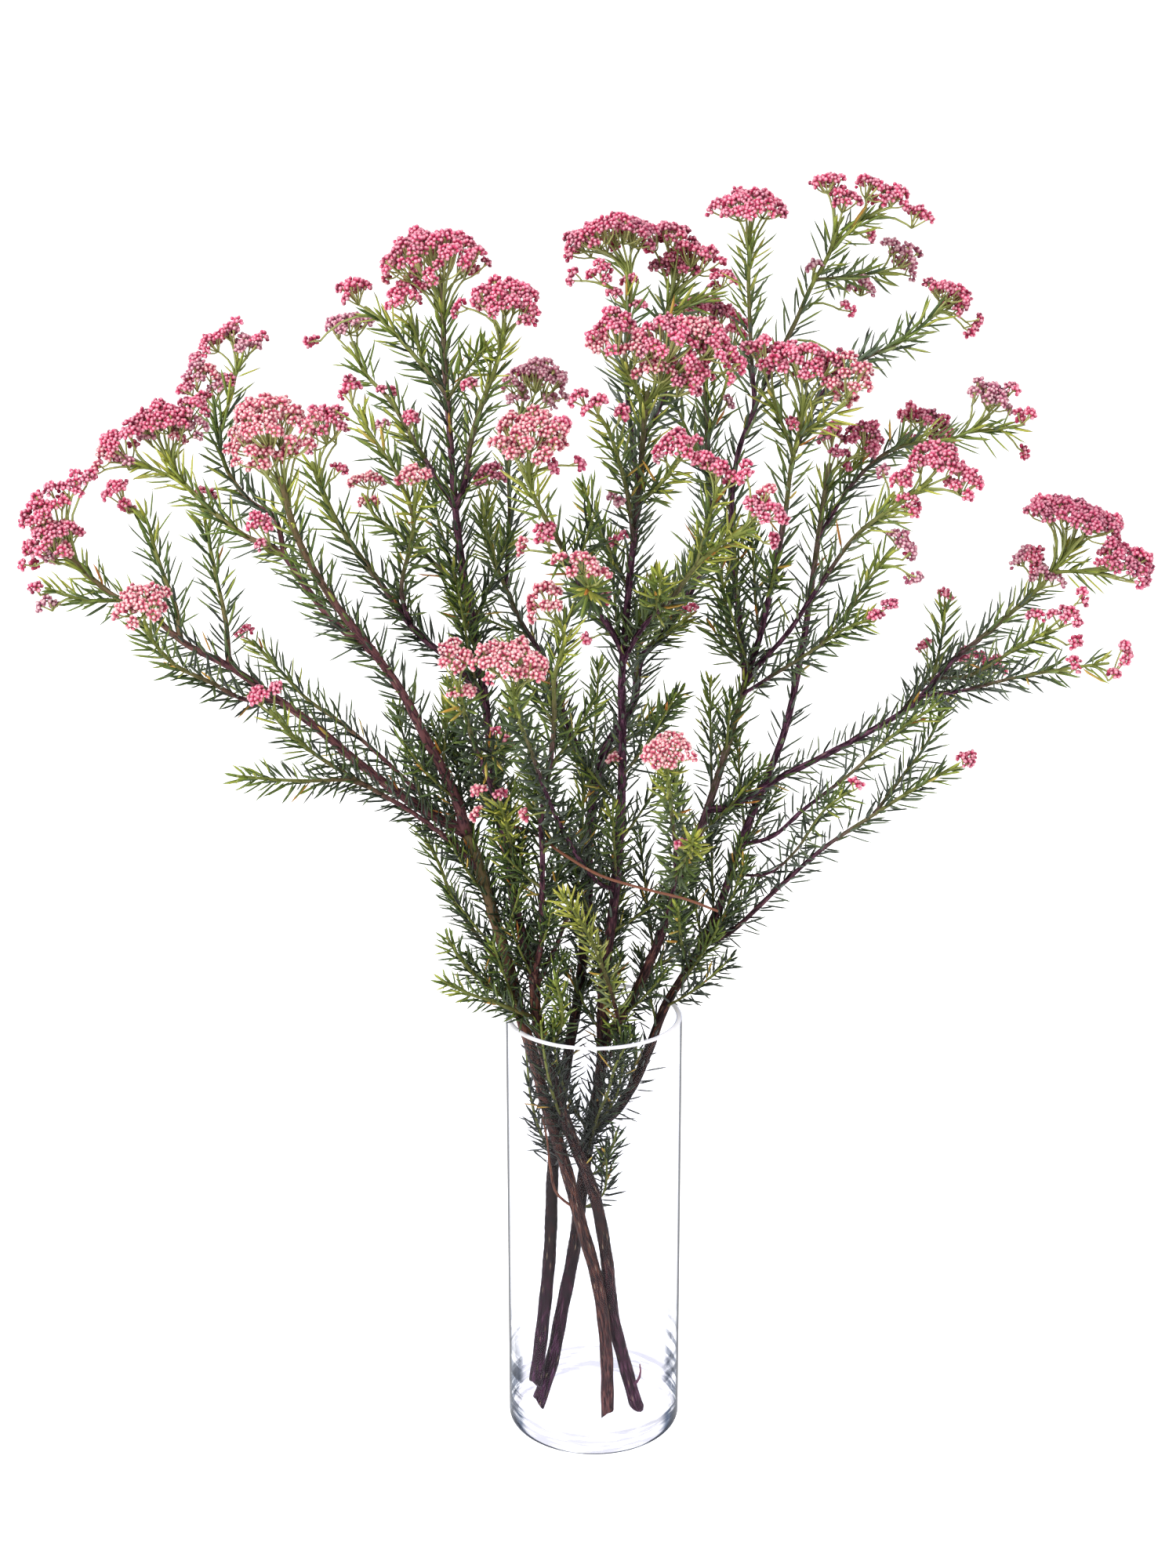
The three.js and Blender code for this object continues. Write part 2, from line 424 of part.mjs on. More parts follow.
// A head is a low dome whose top is raised into buds, with a shallow cup beneath.
function domeSolid({ centre, axis, radius, thickness }, grow = 0) {
  const [side, other] = square(axis);
  const wide = radius + grow;
  const tall = thickness + grow;
  const sectors = Math.max(6, 2 * Math.round((Math.PI * radius) / dome.budSpacing));
  const tiers = radius > 19 ? 4 : radius > 11 ? 3 : radius > 7 ? 2 : 1;
  const turn = centre.x;
  const at = (share, height, bump) =>
    Array.from({ length: sectors }, (_, i) => {
      const angle = (2 * Math.PI * i) / sectors;
      const lobed = wide * share * (1 + dome.lobes * Math.sin(3 * angle + turn));
      const raised = bump * (i % 2 ? -dome.relief : dome.relief);
      return centre
        .clone()
        .addScaledVector(side, (lobed + raised) * Math.cos(angle))
        .addScaledVector(other, (lobed + raised) * Math.sin(angle))
        .addScaledVector(axis, height + raised * 0.6);
    });
  const deep = dome.hang * tall;
  const rings = [at(dome.cup, -0.9 * deep - grow, 0), at(1, -0.25 * deep - grow / 2, 1)];
  for (let tier = 1; tier < tiers; tier++) {
    const bend = (tier / tiers) * (Math.PI / 2);
    rings.push(at(Math.cos(bend), dome.rise * tall * Math.sin(bend), tier % 2 ? -1 : 1));
  }
  const top = centre.clone().addScaledVector(axis, dome.peak * tall);
  return loft(centre.clone().addScaledVector(axis, -deep - grow), rings, top);
}

// A head's domes, placed at the depth of the tip that carries them.
function domesOf(branchName, list) {
  const branch = branches.get(branchName);
  const tip = branch.curve.getPointAt(1);
  const lean = branch.curve.getTangentAt(1);
  const axis = lean.addScaledVector(up, 1.3).normalize();
  return list.map(([across, down, width, thickness]) => ({
    centre: inSpace([across, down], tip.y),
    axis,
    radius: width / 2,
    thickness,
  }));
}

const headList = heads.map(([branchName, tint, list]) => {
  return { branchName, tint, domes: domesOf(branchName, list), stem: branches.get(branchName).stem };
});

// A pedicel: a slim three-sided spindle from the twig into the head.
function pedicelSolid(from, to) {
  const direction = to.clone().sub(from).normalize();
  const [side, other] = square(direction);
  const start = from.clone().addScaledVector(direction, -pedicel.sink);
  const waist = from.clone().lerp(to, pedicel.waist);
  return loft(start, [ring(waist, side, other, pedicel.radius, 3)], to);
}

// The middle of a dome's underside, with the gap that its stalk keeps.
function underside({ centre, axis, thickness }) {
  return centre.clone().addScaledVector(axis, -dome.hang * thickness - pedicel.clear);
}

// Pedicels spread from places near the end of the branch to places just under a dome.
function pedicelsOf(branch, shape) {
  const [side, other] = square(shape.axis);
  const under = underside(shape);
  const nearest = shareOfLeast(branch, (point) => point.distanceTo(under));
  const count = shape.radius > 15 ? 4 : shape.radius > 8 ? 2 : 1;
  return ring(under, side, other, shape.radius * pedicel.spread, count).map((to, i) => {
    const back = pedicel.stagger * (i + 1);
    return pedicelSolid(middleAt(branch, Math.max(0, nearest - back / branch.length)), to);
  });
}

// A small head of a few buds, which narrows down into its own stalk.
function smallHead([branchName, across, down, width]) {
  const branch = branches.get(branchName);
  const share = shareSeenAt(branch, [across, down]);
  const fork = middleAt(branch, share);
  const centre = inSpace([across, down], fork.y);
  const axis = centre.clone().sub(fork).addScaledVector(up, width).normalize();
  const [side, other] = square(axis);
  const neck = centre.clone().addScaledVector(axis, -0.45 * width);
  const top = centre.clone().addScaledVector(axis, 0.35 * width);
  const stalk = neck.clone().sub(fork).normalize();
  const start = fork.addScaledVector(stalk, -rootSink * radiusAt(branch, share));
  const rings = [ring(neck, side, other, pedicel.neck, 5), ring(centre, side, other, width / 2, 5)];
  const shape = { centre, axis, radius: width / 2, thickness: width / 2 };
  return { stem: branch.stem, solid: loft(start, rings, top), shape };
}

const smallHeadList = smallHeads.map(smallHead);

// Places along all the wood, for keeping leaves clear of other stems.
const woodPlaces = [...branches.values()].flatMap((branch) => {
  const steps = Math.ceil(branch.length / 4);
  return Array.from({ length: steps + 1 }, (_, i) => {
    return { stem: branch.stem, point: middleAt(branch, i / steps), radius: radiusAt(branch, i / steps) };
  });
});
const allDomes = [...headList.flatMap((head) => head.domes), ...smallHeadList.map((head) => head.shape)];
const leafPlaces = [];

function insideDome(point, { centre, axis, radius, thickness }) {
  const offset = point.clone().sub(centre);
  const along = offset.dot(axis);
  const across = Math.sqrt(Math.max(0, offset.lengthSq() - along * along));
  const wide = radius + gap.budding;
  const tall = thickness * 0.7 + gap.budding;
  return (across / wide) ** 2 + (along / tall) ** 2 < 1;
}

function clearOfGlass(point) {
  const radial = Math.hypot(point.x, point.y);
  if (point.z > vase.height + gap.glass) return true;
  return point.z > vase.floor + gap.glass && radial < vase.radius - vase.wall - gap.glass;
}

function isClear(places, stem) {
  return places.every((point) => {
    if (!clearOfGlass(point)) return false;
    if (allDomes.some((shape) => insideDome(point, shape))) return false;
    const nearWood = ({ stem: owner, point: middle, radius }) =>
      owner !== stem && middle.distanceTo(point) < radius + gap.wood;
    if (woodPlaces.some(nearWood)) return false;
    return !leafPlaces.some((leaf) => leaf.stem !== stem && leaf.point.distanceTo(point) < gap.needle);
  });
}

// A leaf: a three-sided needle that starts in the wood, leaves it at an angle and bows outward.
function leafAt(root, tangent, outward, { stem, sunk, length }) {
  const angle = THREE.MathUtils.degToRad(needle.angle);
  const along = tangent.clone().multiplyScalar(Math.cos(angle));
  const direction = along.addScaledVector(outward, Math.sin(angle));
  const flatSide = new THREE.Vector3().crossVectors(direction, outward).normalize();
  const backSide = new THREE.Vector3().crossVectors(direction, flatSide).normalize();
  const tip = root.clone().addScaledVector(direction, length).addScaledVector(outward, length * needle.bow);
  const middle = root.clone().addScaledVector(direction, length * needle.waist);
  const places = [0.35, 0.6, 0.8, 1].map((share) => root.clone().lerp(tip, share));
  if (!isClear(places, stem)) return null;
  leafPlaces.push(...places.map((point) => ({ stem, point })));
  const flat = needle.thickness / needle.width;
  const start = root.clone().addScaledVector(direction, -sunk);
  const solid = loft(start, [ring(middle, flatSide, backSide, needle.width / 2, 3, flat)], tip);
  return { solid, line: new THREE.Line3(root, tip) };
}

// Leaves in a golden-angle spiral along a branch, from where its leaves begin to its tip.
function leavesOf(branch) {
  const isMain = branch.name in mainStems;
  const firstShare = isMain ? shareSeenAt(branch, [mainStems[branch.name].seen[5][0], leafStart]) : 0;
  const leaves = [];
  let angle = branch.length;
  const first = firstShare * branch.length + needle.pitch * 0.4;
  for (let along = first; along < branch.length - 2; along += needle.pitch) {
    angle += goldenAngle;
    const share = along / branch.length;
    const tangent = branch.curve.getTangentAt(share);
    const [side, other] = square(tangent);
    const length = needle.length * (0.8 + 0.35 * draw());
    const sunk = rootSink * radiusAt(branch, share);
    for (const turn of leafTurns) {
      const outward = side.clone().multiplyScalar(Math.cos(angle + turn));
      outward.addScaledVector(other, Math.sin(angle + turn));
      const leaf = leafAt(middleAt(branch, share), tangent, outward, { stem: branch.stem, sunk, length });
      if (leaf) {
        leaves.push(leaf);
        break;
      }
    }
  }
  return leaves;
}

// A solid's surface as an indexed geometry, with vertices closer than a tolerance made one.
function surfaceOf(solid, tolerance) {
  const { numProp, vertProperties, triVerts } = solid.getMesh();
  const positions = new Float32Array((vertProperties.length / numProp) * 3);
  for (let i = 0; i < positions.length / 3; i++) {
    positions.set(vertProperties.subarray(i * numProp, i * numProp + 3), i * 3);
  }
  const geometry = new THREE.BufferGeometry();
  geometry.setAttribute("position", new THREE.BufferAttribute(positions, 3));
  geometry.setIndex(new THREE.BufferAttribute(new Uint32Array(triVerts), 1));
  const merged = mergeVertices(geometry, tolerance);
  const corners = Array.from(merged.index.array);
  const faces = corners.filter((_, i) => {
    const first = i - (i % 3);
    return new Set(corners.slice(first, first + 3)).size === 3;
  });
  merged.setIndex(faces);
  return merged;
}

// Where a surface touches itself: a corner of each edge that doesn't have just two faces.
function pinchesOf(geometry) {
  const corners = geometry.index.array;
  const uses = new Map();
  for (let i = 0; i < corners.length; i++) {
    const next = i % 3 === 2 ? i - 2 : i + 1;
    const key = `${Math.min(corners[i], corners[next])} ${Math.max(corners[i], corners[next])}`;
    uses.set(key, (uses.get(key) ?? 0) + 1);
  }
  const odd = [...uses].filter(([, count]) => count !== 2);
  return odd.map(([key]) => {
    return new THREE.Vector3().fromBufferAttribute(geometry.attributes.position, Number(key.split(" ")[0]));
  });
}

// Whether a surface hangs together, so that any corner can be reached from any other.
function isWhole(geometry) {
  const corners = geometry.index.array;
  const leader = Array.from({ length: geometry.attributes.position.count }, (_, i) => i);
  const find = (i) => {
    while (leader[i] !== i) i = leader[i] = leader[leader[i]];
    return i;
  };
  for (let i = 0; i < corners.length; i += 3) {
    leader[find(corners[i + 1])] = find(corners[i]);
    leader[find(corners[i + 2])] = find(corners[i]);
  }
  return new Set(Array.from(corners, find)).size === 1;
}

// The finest weld of a solid that leaves one surface which touches itself nowhere, or else the finest.
function weldedSurface(solid) {
  const tries = weldSteps.map((tolerance) => surfaceOf(solid, tolerance));
  return tries.find((geometry) => isWhole(geometry) && !pinchesOf(geometry).length) ?? tries[0];
}

function largest(solid) {
  return solid.decompose().reduce((a, b) => (b.volume() > a.volume() ? b : a));
}

function near(a, b) {
  const boxA = a.boundingBox();
  const boxB = b.boundingBox();
  return [0, 1, 2].every((i) => boxA.min[i] < boxB.max[i] && boxB.min[i] < boxA.max[i]);
}

function cutBy(solid, cutters) {
  const close = cutters.filter((cutter) => near(solid, cutter));
  return close.length ? largest(solid.subtract(wasm.Manifold.union(close))) : solid;
}

// A stem's wood and heads joined with its leaves, less the odd leaf whose join would pinch the surface.
function leafyStem(pieces, leaves, cutters) {
  const solid = cutBy(wasm.Manifold.union([...pieces, ...leaves.map((leaf) => leaf.solid)]), cutters);
  const pinches = pinchesOf(weldedSurface(solid));
  const closest = new THREE.Vector3();
  const clean = leaves.filter(({ line }) => {
    return pinches.every((at) => line.closestPointToPoint(at, true, closest).distanceTo(at) > needle.width);
  });
  return clean.length < leaves.length ? leafyStem(pieces, clean, cutters) : solid;
}

function meshOf(name, solid, finish) {
  const geometry = weldedSurface(solid);
  geometry.computeVertexNormals();
  const mesh = new THREE.Mesh(geometry, new THREE.MeshStandardMaterial(finish));
  mesh.name = name;
  return mesh;
}

// The vase: a straight glass cylinder on a thick base, with a rounded heel and a polished rim.
function vaseSolid() {
  const profile = new THREE.Path();
  const inside = vase.radius - vase.wall;
  const lip = vase.wall / 2;
  profile.moveTo(0, 0);
  profile.lineTo(vase.radius - vase.heel, 0);
  profile.absarc(vase.radius - vase.heel, vase.heel, vase.heel, -Math.PI / 2, 0);
  profile.absarc(vase.radius - lip, vase.height - lip, lip, 0, Math.PI);
  profile.lineTo(inside, vase.floor + vase.insideHeel);
  const bend = vase.insideHeel;
  profile.absarc(inside - bend, vase.floor + bend, bend, 0, -Math.PI / 2, true);
  profile.lineTo(0, vase.floor);
  const geometry = new THREE.LatheGeometry(profile.getPoints(2), vase.sides);
  geometry.deleteAttribute("normal");
  geometry.deleteAttribute("uv");
  const merged = mergeVertices(geometry.toNonIndexed(), 1e-3);
  const vertProperties = merged.attributes.position.array;
  const lathe = new wasm.Mesh({ numProp: 3, vertProperties, triVerts: new Uint32Array(merged.index.array) });
  return new wasm.Manifold(lathe);
}

const part = new THREE.Group();
const vaseMesh = meshOf("vase", vaseSolid(), colours.glass);
vaseMesh.geometry.rotateX(Math.PI / 2);
part.add(vaseMesh);

// Heads first, each cut back from the ones before it so that touching heads keep a gap.
const headCutters = [];
headList.forEach((head, i) => {
  const solid = wasm.Manifold.union(head.domes.map((shape) => domeSolid(shape)));
  const name = `head_${head.stem}_${i + 1}`;
  part.add(meshOf(name, cutBy(largest(solid), headCutters), colours[head.tint]));
  headCutters.push(...head.domes.map((shape) => domeSolid(shape, gap.head)));
});

// Then each stem with its branches, leaves, pedicels and small heads fused into one solid.
for (const stem of Object.keys(mainStems)) {
  const own = [...branches.values()].filter((branch) => branch.stem === stem);
  const pieces = own.map(woodOf);
  for (const head of headList.filter((entry) => entry.stem === stem)) {
    pieces.push(...head.domes.flatMap((shape) => pedicelsOf(branches.get(head.branchName), shape)));
  }
  pieces.push(...smallHeadList.filter((head) => head.stem === stem).map((head) => head.solid));
  part.add(meshOf(`stem_${stem}`, leafyStem(pieces, own.flatMap(leavesOf), headCutters), colours[stem]));
}

export default part;
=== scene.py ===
# Four cut stems of pink rice flower in a clear glass cylinder vase: the looks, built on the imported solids.
# Shapes are worked out in millimetres and stored in metres. +Z is up, and the front is towards -Y.
import bpy
import numpy as np
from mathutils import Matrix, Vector


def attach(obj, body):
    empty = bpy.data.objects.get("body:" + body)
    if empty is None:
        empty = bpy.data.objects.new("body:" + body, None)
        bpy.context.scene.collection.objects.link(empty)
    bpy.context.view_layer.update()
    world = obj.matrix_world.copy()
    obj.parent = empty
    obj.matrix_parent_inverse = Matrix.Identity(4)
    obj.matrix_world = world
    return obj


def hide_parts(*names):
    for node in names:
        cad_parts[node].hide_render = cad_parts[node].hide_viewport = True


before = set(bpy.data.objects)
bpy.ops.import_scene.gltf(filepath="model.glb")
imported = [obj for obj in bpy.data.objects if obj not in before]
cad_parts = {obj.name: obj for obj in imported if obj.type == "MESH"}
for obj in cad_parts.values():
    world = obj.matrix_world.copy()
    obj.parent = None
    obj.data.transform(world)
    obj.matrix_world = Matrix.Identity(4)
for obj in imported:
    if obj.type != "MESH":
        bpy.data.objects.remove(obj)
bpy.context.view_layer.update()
rng = np.random.default_rng(4127)
up = np.array([0.0, 0.0, 1.0])
goldenAngle = np.radians(137.508)  # turn from one leaf or bud to the next, as plants grow them

# The eye that the routes are drawn for: a level view tipped down, with its place in millimetres, its focal
# length in picture points, and the middle and height of the picture.
eye = {"side": -3.4, "distance": 1385.0, "height": 825.0, "tilt": np.radians(17.35), "focal": 3356.0,
       "middle": (750.0, 1000.0), "pictureHeight": 2000.0}

# Main stems: picture points from the cut end up, the radius at both ends, and pairs of picture height and
# depth that say how far behind the vase's axis the stem is.
mainStems = {
  "left": {
    "radii": [3.8, 3.1],
    "depths": [[1810, -30], [1560, -20], [1297, -4], [1060, -14]],
    "seen": [
      [775, 1809.5], [773, 1720], [763, 1640], [741, 1560], [719, 1480], [697, 1410],
      [681, 1350], [665, 1297], [652, 1242], [625, 1152], [601, 1077], [593, 1060],
    ],
  },
  "middle": {
    "radii": [4, 1.4],
    "depths": [[1799, -21], [1520, -19], [1295, -18], [1100, -10], [900, 5], [350, 10]],
    "seen": [
      [813, 1798.3], [797, 1740], [782, 1680], [773, 1600], [757, 1520], [731, 1455], [705, 1380],
      [684, 1295], [680, 1242], [660, 1170], [648, 1100], [632, 1000], [622, 920], [610, 830],
      [593, 742], [582, 660], [574, 557], [567, 465], [564, 375], [561, 352],
    ],
  },
  "right": {
    "radii": [4.2, 1.3],
    "depths": [[1796, -18], [1600, -1], [1445, 3], [1290, 5], [1100, 0], [800, -15], [500, -55]],
    "seen": [
      [685, 1794], [703, 1740], [717, 1670], [731, 1600], [742, 1520], [752, 1445], [767, 1360],
      [768, 1290], [772, 1232], [781, 1170], [787, 1107], [792, 1030], [794, 957], [793, 870],
      [799, 785], [806, 710], [815, 630], [822, 535], [826, 500],
    ],
  },
  "rear": {
    "radii": [4, 1.4],
    "depths": [[1775, -25], [1640, -10], [1480, 2], [1275, 18], [1050, 35], [900, 50], [440, 110]],
    "seen": [
      [682, 1772], [691, 1700], [701, 1600], [706, 1480], [716, 1400], [727, 1330], [737, 1275],
      [750, 1150], [752, 1050], [772, 955], [807, 900], [818, 840], [845, 810], [885, 745],
      [902, 670], [902, 547], [900, 500], [902, 430],
    ],
  },
}

# Side branches: name, what it grows from, depth at its tip, root radius, tip radius, picture points.
sideBranches = [
  ["longLeft", "left", -45, 2.9, 1.2, [[593, 1060], [560, 1045], [520, 1020], [462, 977], [400, 925],
    [340, 882], [292, 850], [235, 820], [185, 778], [140, 757], [110, 730], [85, 705]]],
  ["tailTwig", "longLeft", -60, 1.1, 0.8, [[157, 765], [110, 766], [80, 757], [58, 750]]],
  ["curvedShoot", "longLeft", -20, 1.4, 0.9, [[232, 815], [225, 777], [210, 737], [197, 700],
    [185, 660], [168, 648]]],
  ["uprightShoot", "longLeft", 5, 1.4, 0.9, [[292, 850], [289, 800], [275, 732], [262, 668], [260, 648]]],
  ["lowShoot", "longLeft", -110, 1.4, 1, [[355, 895], [312, 892], [272, 872], [222, 847], [195, 817],
    [184, 792]]],
  ["innerShoot", "left", 40, 1.5, 0.9, [[598, 1070], [565, 1045], [530, 1007], [480, 960], [435, 922],
    [392, 892], [357, 855], [322, 818]]],
  ["frontShoot", "left", -75, 1.6, 1, [[612, 1110], [585, 1082], [527, 1037], [467, 1002], [402, 962],
    [365, 930], [345, 906]]],
  ["bareShoot", "frontShoot", -100, 1.2, 0.8, [[467, 1003], [440, 995], [400, 996], [360, 995],
    [303, 990]]],
  ["tallLeft", "left", -105, 2.9, 1.5, [[593, 1060], [585, 1027], [565, 982], [542, 940], [515, 887],
    [475, 830], [440, 787], [405, 735], [377, 680], [358, 610]]],
  ["upperLeft", "tallLeft", 0, 2, 1.2, [[475, 830], [430, 797], [385, 742], [360, 707], [310, 682],
    [260, 642], [222, 600], [212, 575]]],
  ["upperTwig", "upperLeft", -15, 1.1, 0.8, [[235, 615], [200, 600], [172, 592]]],
  ["shortShoot", "upperLeft", -35, 1.1, 0.9, [[360, 707], [345, 705], [338, 700]]],
  ["backLeft", "upperLeft", 60, 1.5, 1, [[362, 712], [350, 660], [320, 640], [290, 600], [278, 555],
    [272, 505]]],
  ["backLeftTwig", "backLeft", 70, 1, 0.8, [[280, 560], [296, 500], [305, 458]]],
  ["lowLeftA", "left", 15, 1.4, 0.8, [[652, 1242], [610, 1195], [577, 1145], [560, 1102], [535, 1055]]],
  ["lowLeftB", "left", -40, 1.3, 0.8, [[657, 1265], [620, 1255], [587, 1222], [570, 1195]]],

  ["acrossRim", "middle", -60, 1.3, 0.8, [[684, 1300], [660, 1290], [627, 1277], [597, 1267],
    [563, 1250]]],
  ["rimShoot", "middle", -40, 1.2, 0.8, [[697, 1340], [712, 1320], [717, 1290], [709, 1250]]],
  ["middleLeft", "middle", -20, 2, 1.2, [[618, 890], [577, 845], [530, 805], [490, 750], [447, 692],
    [415, 637], [398, 590]]],
  ["steepShoot", "middleLeft", -70, 1.3, 0.9, [[520, 795], [512, 750], [520, 710], [527, 675],
    [530, 628]]],
  ["besideShoot", "steepShoot", -45, 1.1, 0.8, [[527, 660], [505, 602], [485, 572], [465, 540],
    [457, 516]]],
  ["topLeft", "middle", 35, 1.4, 1, [[567, 500], [542, 470], [510, 432], [490, 412], [466, 392]]],
  ["topLeftTwig", "topLeft", 5, 1, 0.8, [[540, 467], [530, 425], [520, 402]]],
  ["leafyTwig", "middle", -30, 1, 0.7, [[575, 510], [587, 485], [597, 470], [622, 440]]],
  ["topRight", "middle", -35, 1.7, 1.1, [[582, 645], [592, 620], [602, 557], [615, 515], [630, 475],
    [640, 440], [644, 412]]],
  ["midRise", "middle", 75, 1.5, 1, [[580, 645], [555, 607], [525, 557], [497, 510], [465, 475],
    [450, 436]]],
  ["midPale", "midRise", 20, 1, 0.8, [[540, 585], [527, 565], [522, 552]]],
  ["lowRise", "middle", 45, 1.5, 0.9, [[591, 750], [560, 725], [530, 695], [480, 660], [462, 630]]],
  ["frontRise", "middle", -140, 1.5, 1, [[640, 1050], [625, 1000], [605, 950], [590, 900], [582, 870]]],
  ["yellowTip", "middle", -60, 1.1, 0.8, [[650, 1140], [655, 1095], [645, 1050], [637, 1022]]],
  ["centreRise", "middle", -85, 1.7, 1, [[681, 1245], [691, 1200], [691, 1145], [692, 1095],
    [690, 1045], [702, 975], [707, 912], [707, 865], [720, 812], [708, 785]]],
  ["redRise", "middle", 5, 1.4, 0.8, [[683, 1262], [715, 1192], [737, 1120], [742, 1060], [745, 985]]],
  ["deadTwig", "middle", -175, 0.9, 0.7, [[640, 1050], [680, 1062], [715, 1087], [762, 1115],
    [815, 1132], [875, 1147], [915, 1162]]],

  ["greyTwig", "right", -150, 1.3, 0.9, [[780, 1137], [765, 1127], [740, 1098], [712, 1047],
    [693, 1003], [677, 957], [660, 912], [654, 872]]],
  ["leftTall", "right", -95, 1.8, 1.1, [[793, 830], [775, 797], [755, 770], [732, 730], [715, 695],
    [695, 660], [678, 625], [674, 588]]],
  ["leftTallTwig", "leftTall", -125, 1, 0.8, [[755, 770], [750, 748]]],
  ["leftTallSide", "leftTall", -70, 1, 0.8, [[722, 710], [705, 705]]],
  ["slimShoot", "right", -75, 1.2, 0.9, [[809, 690], [800, 630], [787, 580], [775, 547], [765, 531]]],
  ["besideHead", "right", -75, 1.1, 0.9, [[814, 640], [835, 625], [862, 594]]],
  ["boughLeft", "right", -62, 1.2, 1, [[824, 520], [808, 490], [793, 458]]],
  ["boughRight", "right", -62, 1.3, 1, [[825, 515], [845, 490], [855, 474]]],
  ["darkRise", "right", 45, 1.5, 1, [[815, 630], [806, 560], [800, 500], [797, 450], [802, 400],
    [803, 350], [785, 322]]],
  ["darkTwig", "darkRise", 20, 0.9, 0.7, [[802, 400], [790, 375], [772, 362]]],
  ["rightRise", "right", 70, 1.5, 1, [[820, 560], [848, 500], [852, 440], [850, 400], [862, 362]]],
  ["rightRiseTwig", "rightRise", 60, 0.9, 0.8, [[851, 405], [885, 385], [915, 370]]],
  ["brightStem", "right", -85, 1.5, 1, [[793, 845], [820, 800], [860, 760], [885, 725], [925, 690],
    [962, 674]]],
  ["brightTwig", "brightStem", -80, 1, 0.8, [[890, 722], [905, 660], [916, 622]]],
  ["outerRise", "right", 25, 3, 1.8, [[775, 1330], [797, 1290], [832, 1220], [862, 1140], [890, 1067],
    [917, 987], [945, 892], [952, 865]]],
  ["forkRight", "outerRise", -30, 1.7, 1.1, [[952, 868], [970, 810], [986, 735], [1000, 667],
    [1010, 590], [1020, 547], [1026, 505]]],
  ["forkRightOuter", "forkRight", -40, 1, 0.8, [[1018, 555], [1050, 535], [1078, 516]]],
  ["forkRightInner", "forkRight", -25, 1, 0.8, [[1012, 580], [992, 525], [980, 492]]],
  ["forkLeft", "outerRise", 70, 1.7, 1.1, [[952, 868], [947, 825], [940, 760], [932, 700], [940, 585],
    [960, 527], [990, 460], [1015, 410], [1035, 365], [1057, 325], [1070, 284]]],
  ["forkLeftArc", "forkLeft", 85, 1, 0.8, [[1060, 318], [1095, 285], [1125, 265]]],
  ["forkLeftSide", "forkLeft", 110, 1, 0.8, [[1040, 357], [1090, 352], [1133, 345]]],
  ["paleStem", "forkLeft", 15, 1.2, 0.9, [[963, 520], [957, 425], [955, 360], [957, 280]]],
  ["leafyRight", "forkLeft", -10, 1, 0.7, [[946, 825], [930, 802], [921, 740], [912, 710]]],
  ["outerTwig", "outerRise", -45, 1.1, 0.8, [[947, 885], [985, 862], [1025, 837], [1082, 800],
    [1110, 790]]],
  ["brightOuter", "outerRise", -60, 1.5, 1, [[952, 868], [980, 835], [1005, 807], [1050, 740],
    [1095, 680], [1150, 640], [1188, 612]]],
  ["brightOuterTwig", "brightOuter", -20, 1, 0.8, [[1100, 677], [1125, 655], [1142, 632]]],
  ["beyondRise", "forkRight", 85, 1.2, 0.9, [[1012, 575], [1050, 500], [1095, 462], [1155, 432],
    [1205, 388]]],
  ["farRight", "outerRise", 0, 2, 1.2, [[903, 1030], [930, 1030], [985, 997], [1045, 967], [1102, 937],
    [1162, 900], [1217, 842], [1280, 790], [1337, 737], [1372, 688]]],
  ["farRightOuter", "farRight", -15, 1, 0.8, [[1345, 730], [1385, 728], [1412, 728]]],
  ["farRightMiddle", "farRight", -45, 1.1, 0.9, [[1195, 868], [1235, 862], [1300, 825], [1340, 803]]],
  ["farRightLow", "farRight", -70, 1.1, 0.8, [[1175, 888], [1222, 882], [1297, 864], [1380, 850],
    [1414, 846]]],
  ["farRightBack", "farRight", 65, 1.1, 0.8, [[1150, 907], [1180, 870], [1225, 856], [1262, 862]]],
  ["farRightTiny", "farRight", 35, 0.9, 0.7, [[1190, 875], [1200, 820], [1206, 768]]],
  ["frontStalk", "outerRise", -125, 1.3, 0.9, [[847, 1190], [855, 1152], [862, 1107], [859, 1057],
    [852, 990], [851, 970]]],
  ["leafyCrown", "frontStalk", -95, 1, 0.7, [[861, 1120], [872, 1100], [885, 1070]]],
  ["lowerRise", "right", 45, 3, 1.4, [[753, 1440], [787, 1415], [812, 1375], [829, 1335], [850, 1280],
    [880, 1232], [920, 1150], [942, 1082], [972, 1007], [1000, 935], [1022, 835], [1037, 735],
    [1050, 642], [1058, 592]]],
  ["lowerRiseTwig", "lowerRise", 70, 1, 0.8, [[1052, 625], [1085, 600], [1102, 586]]],
  ["beyondRight", "lowerRise", 60, 1.3, 0.9, [[1045, 685], [1085, 620], [1130, 578], [1165, 566],
    [1222, 557], [1262, 532]]],
  ["beyondRightEnd", "beyondRight", 45, 0.9, 0.7, [[1235, 551], [1270, 548], [1295, 543]]],
  ["beyondRightSide", "beyondRight", 84, 0.8, 0.7, [[1130, 578], [1158, 562], [1180, 554]]],
  ["lowerLeafy", "lowerRise", -30, 1.3, 0.8, [[945, 1080], [985, 1067], [1022, 1035], [1087, 985],
    [1140, 937], [1197, 897]]],
  ["lowerSparse", "lowerRise", -60, 0.9, 0.7, [[933, 1115], [980, 1114], [1015, 1085], [1050, 1035],
    [1084, 1008]]],
  ["lowOuter", "lowerRise", -10, 1.6, 0.9, [[893, 1208], [930, 1190], [990, 1135], [1050, 1082],
    [1110, 1042], [1160, 1010], [1222, 975]]],
  ["lowOuterSide", "lowOuter", 30, 1.1, 0.7, [[1115, 1040], [1155, 985], [1180, 952], [1210, 890]]],
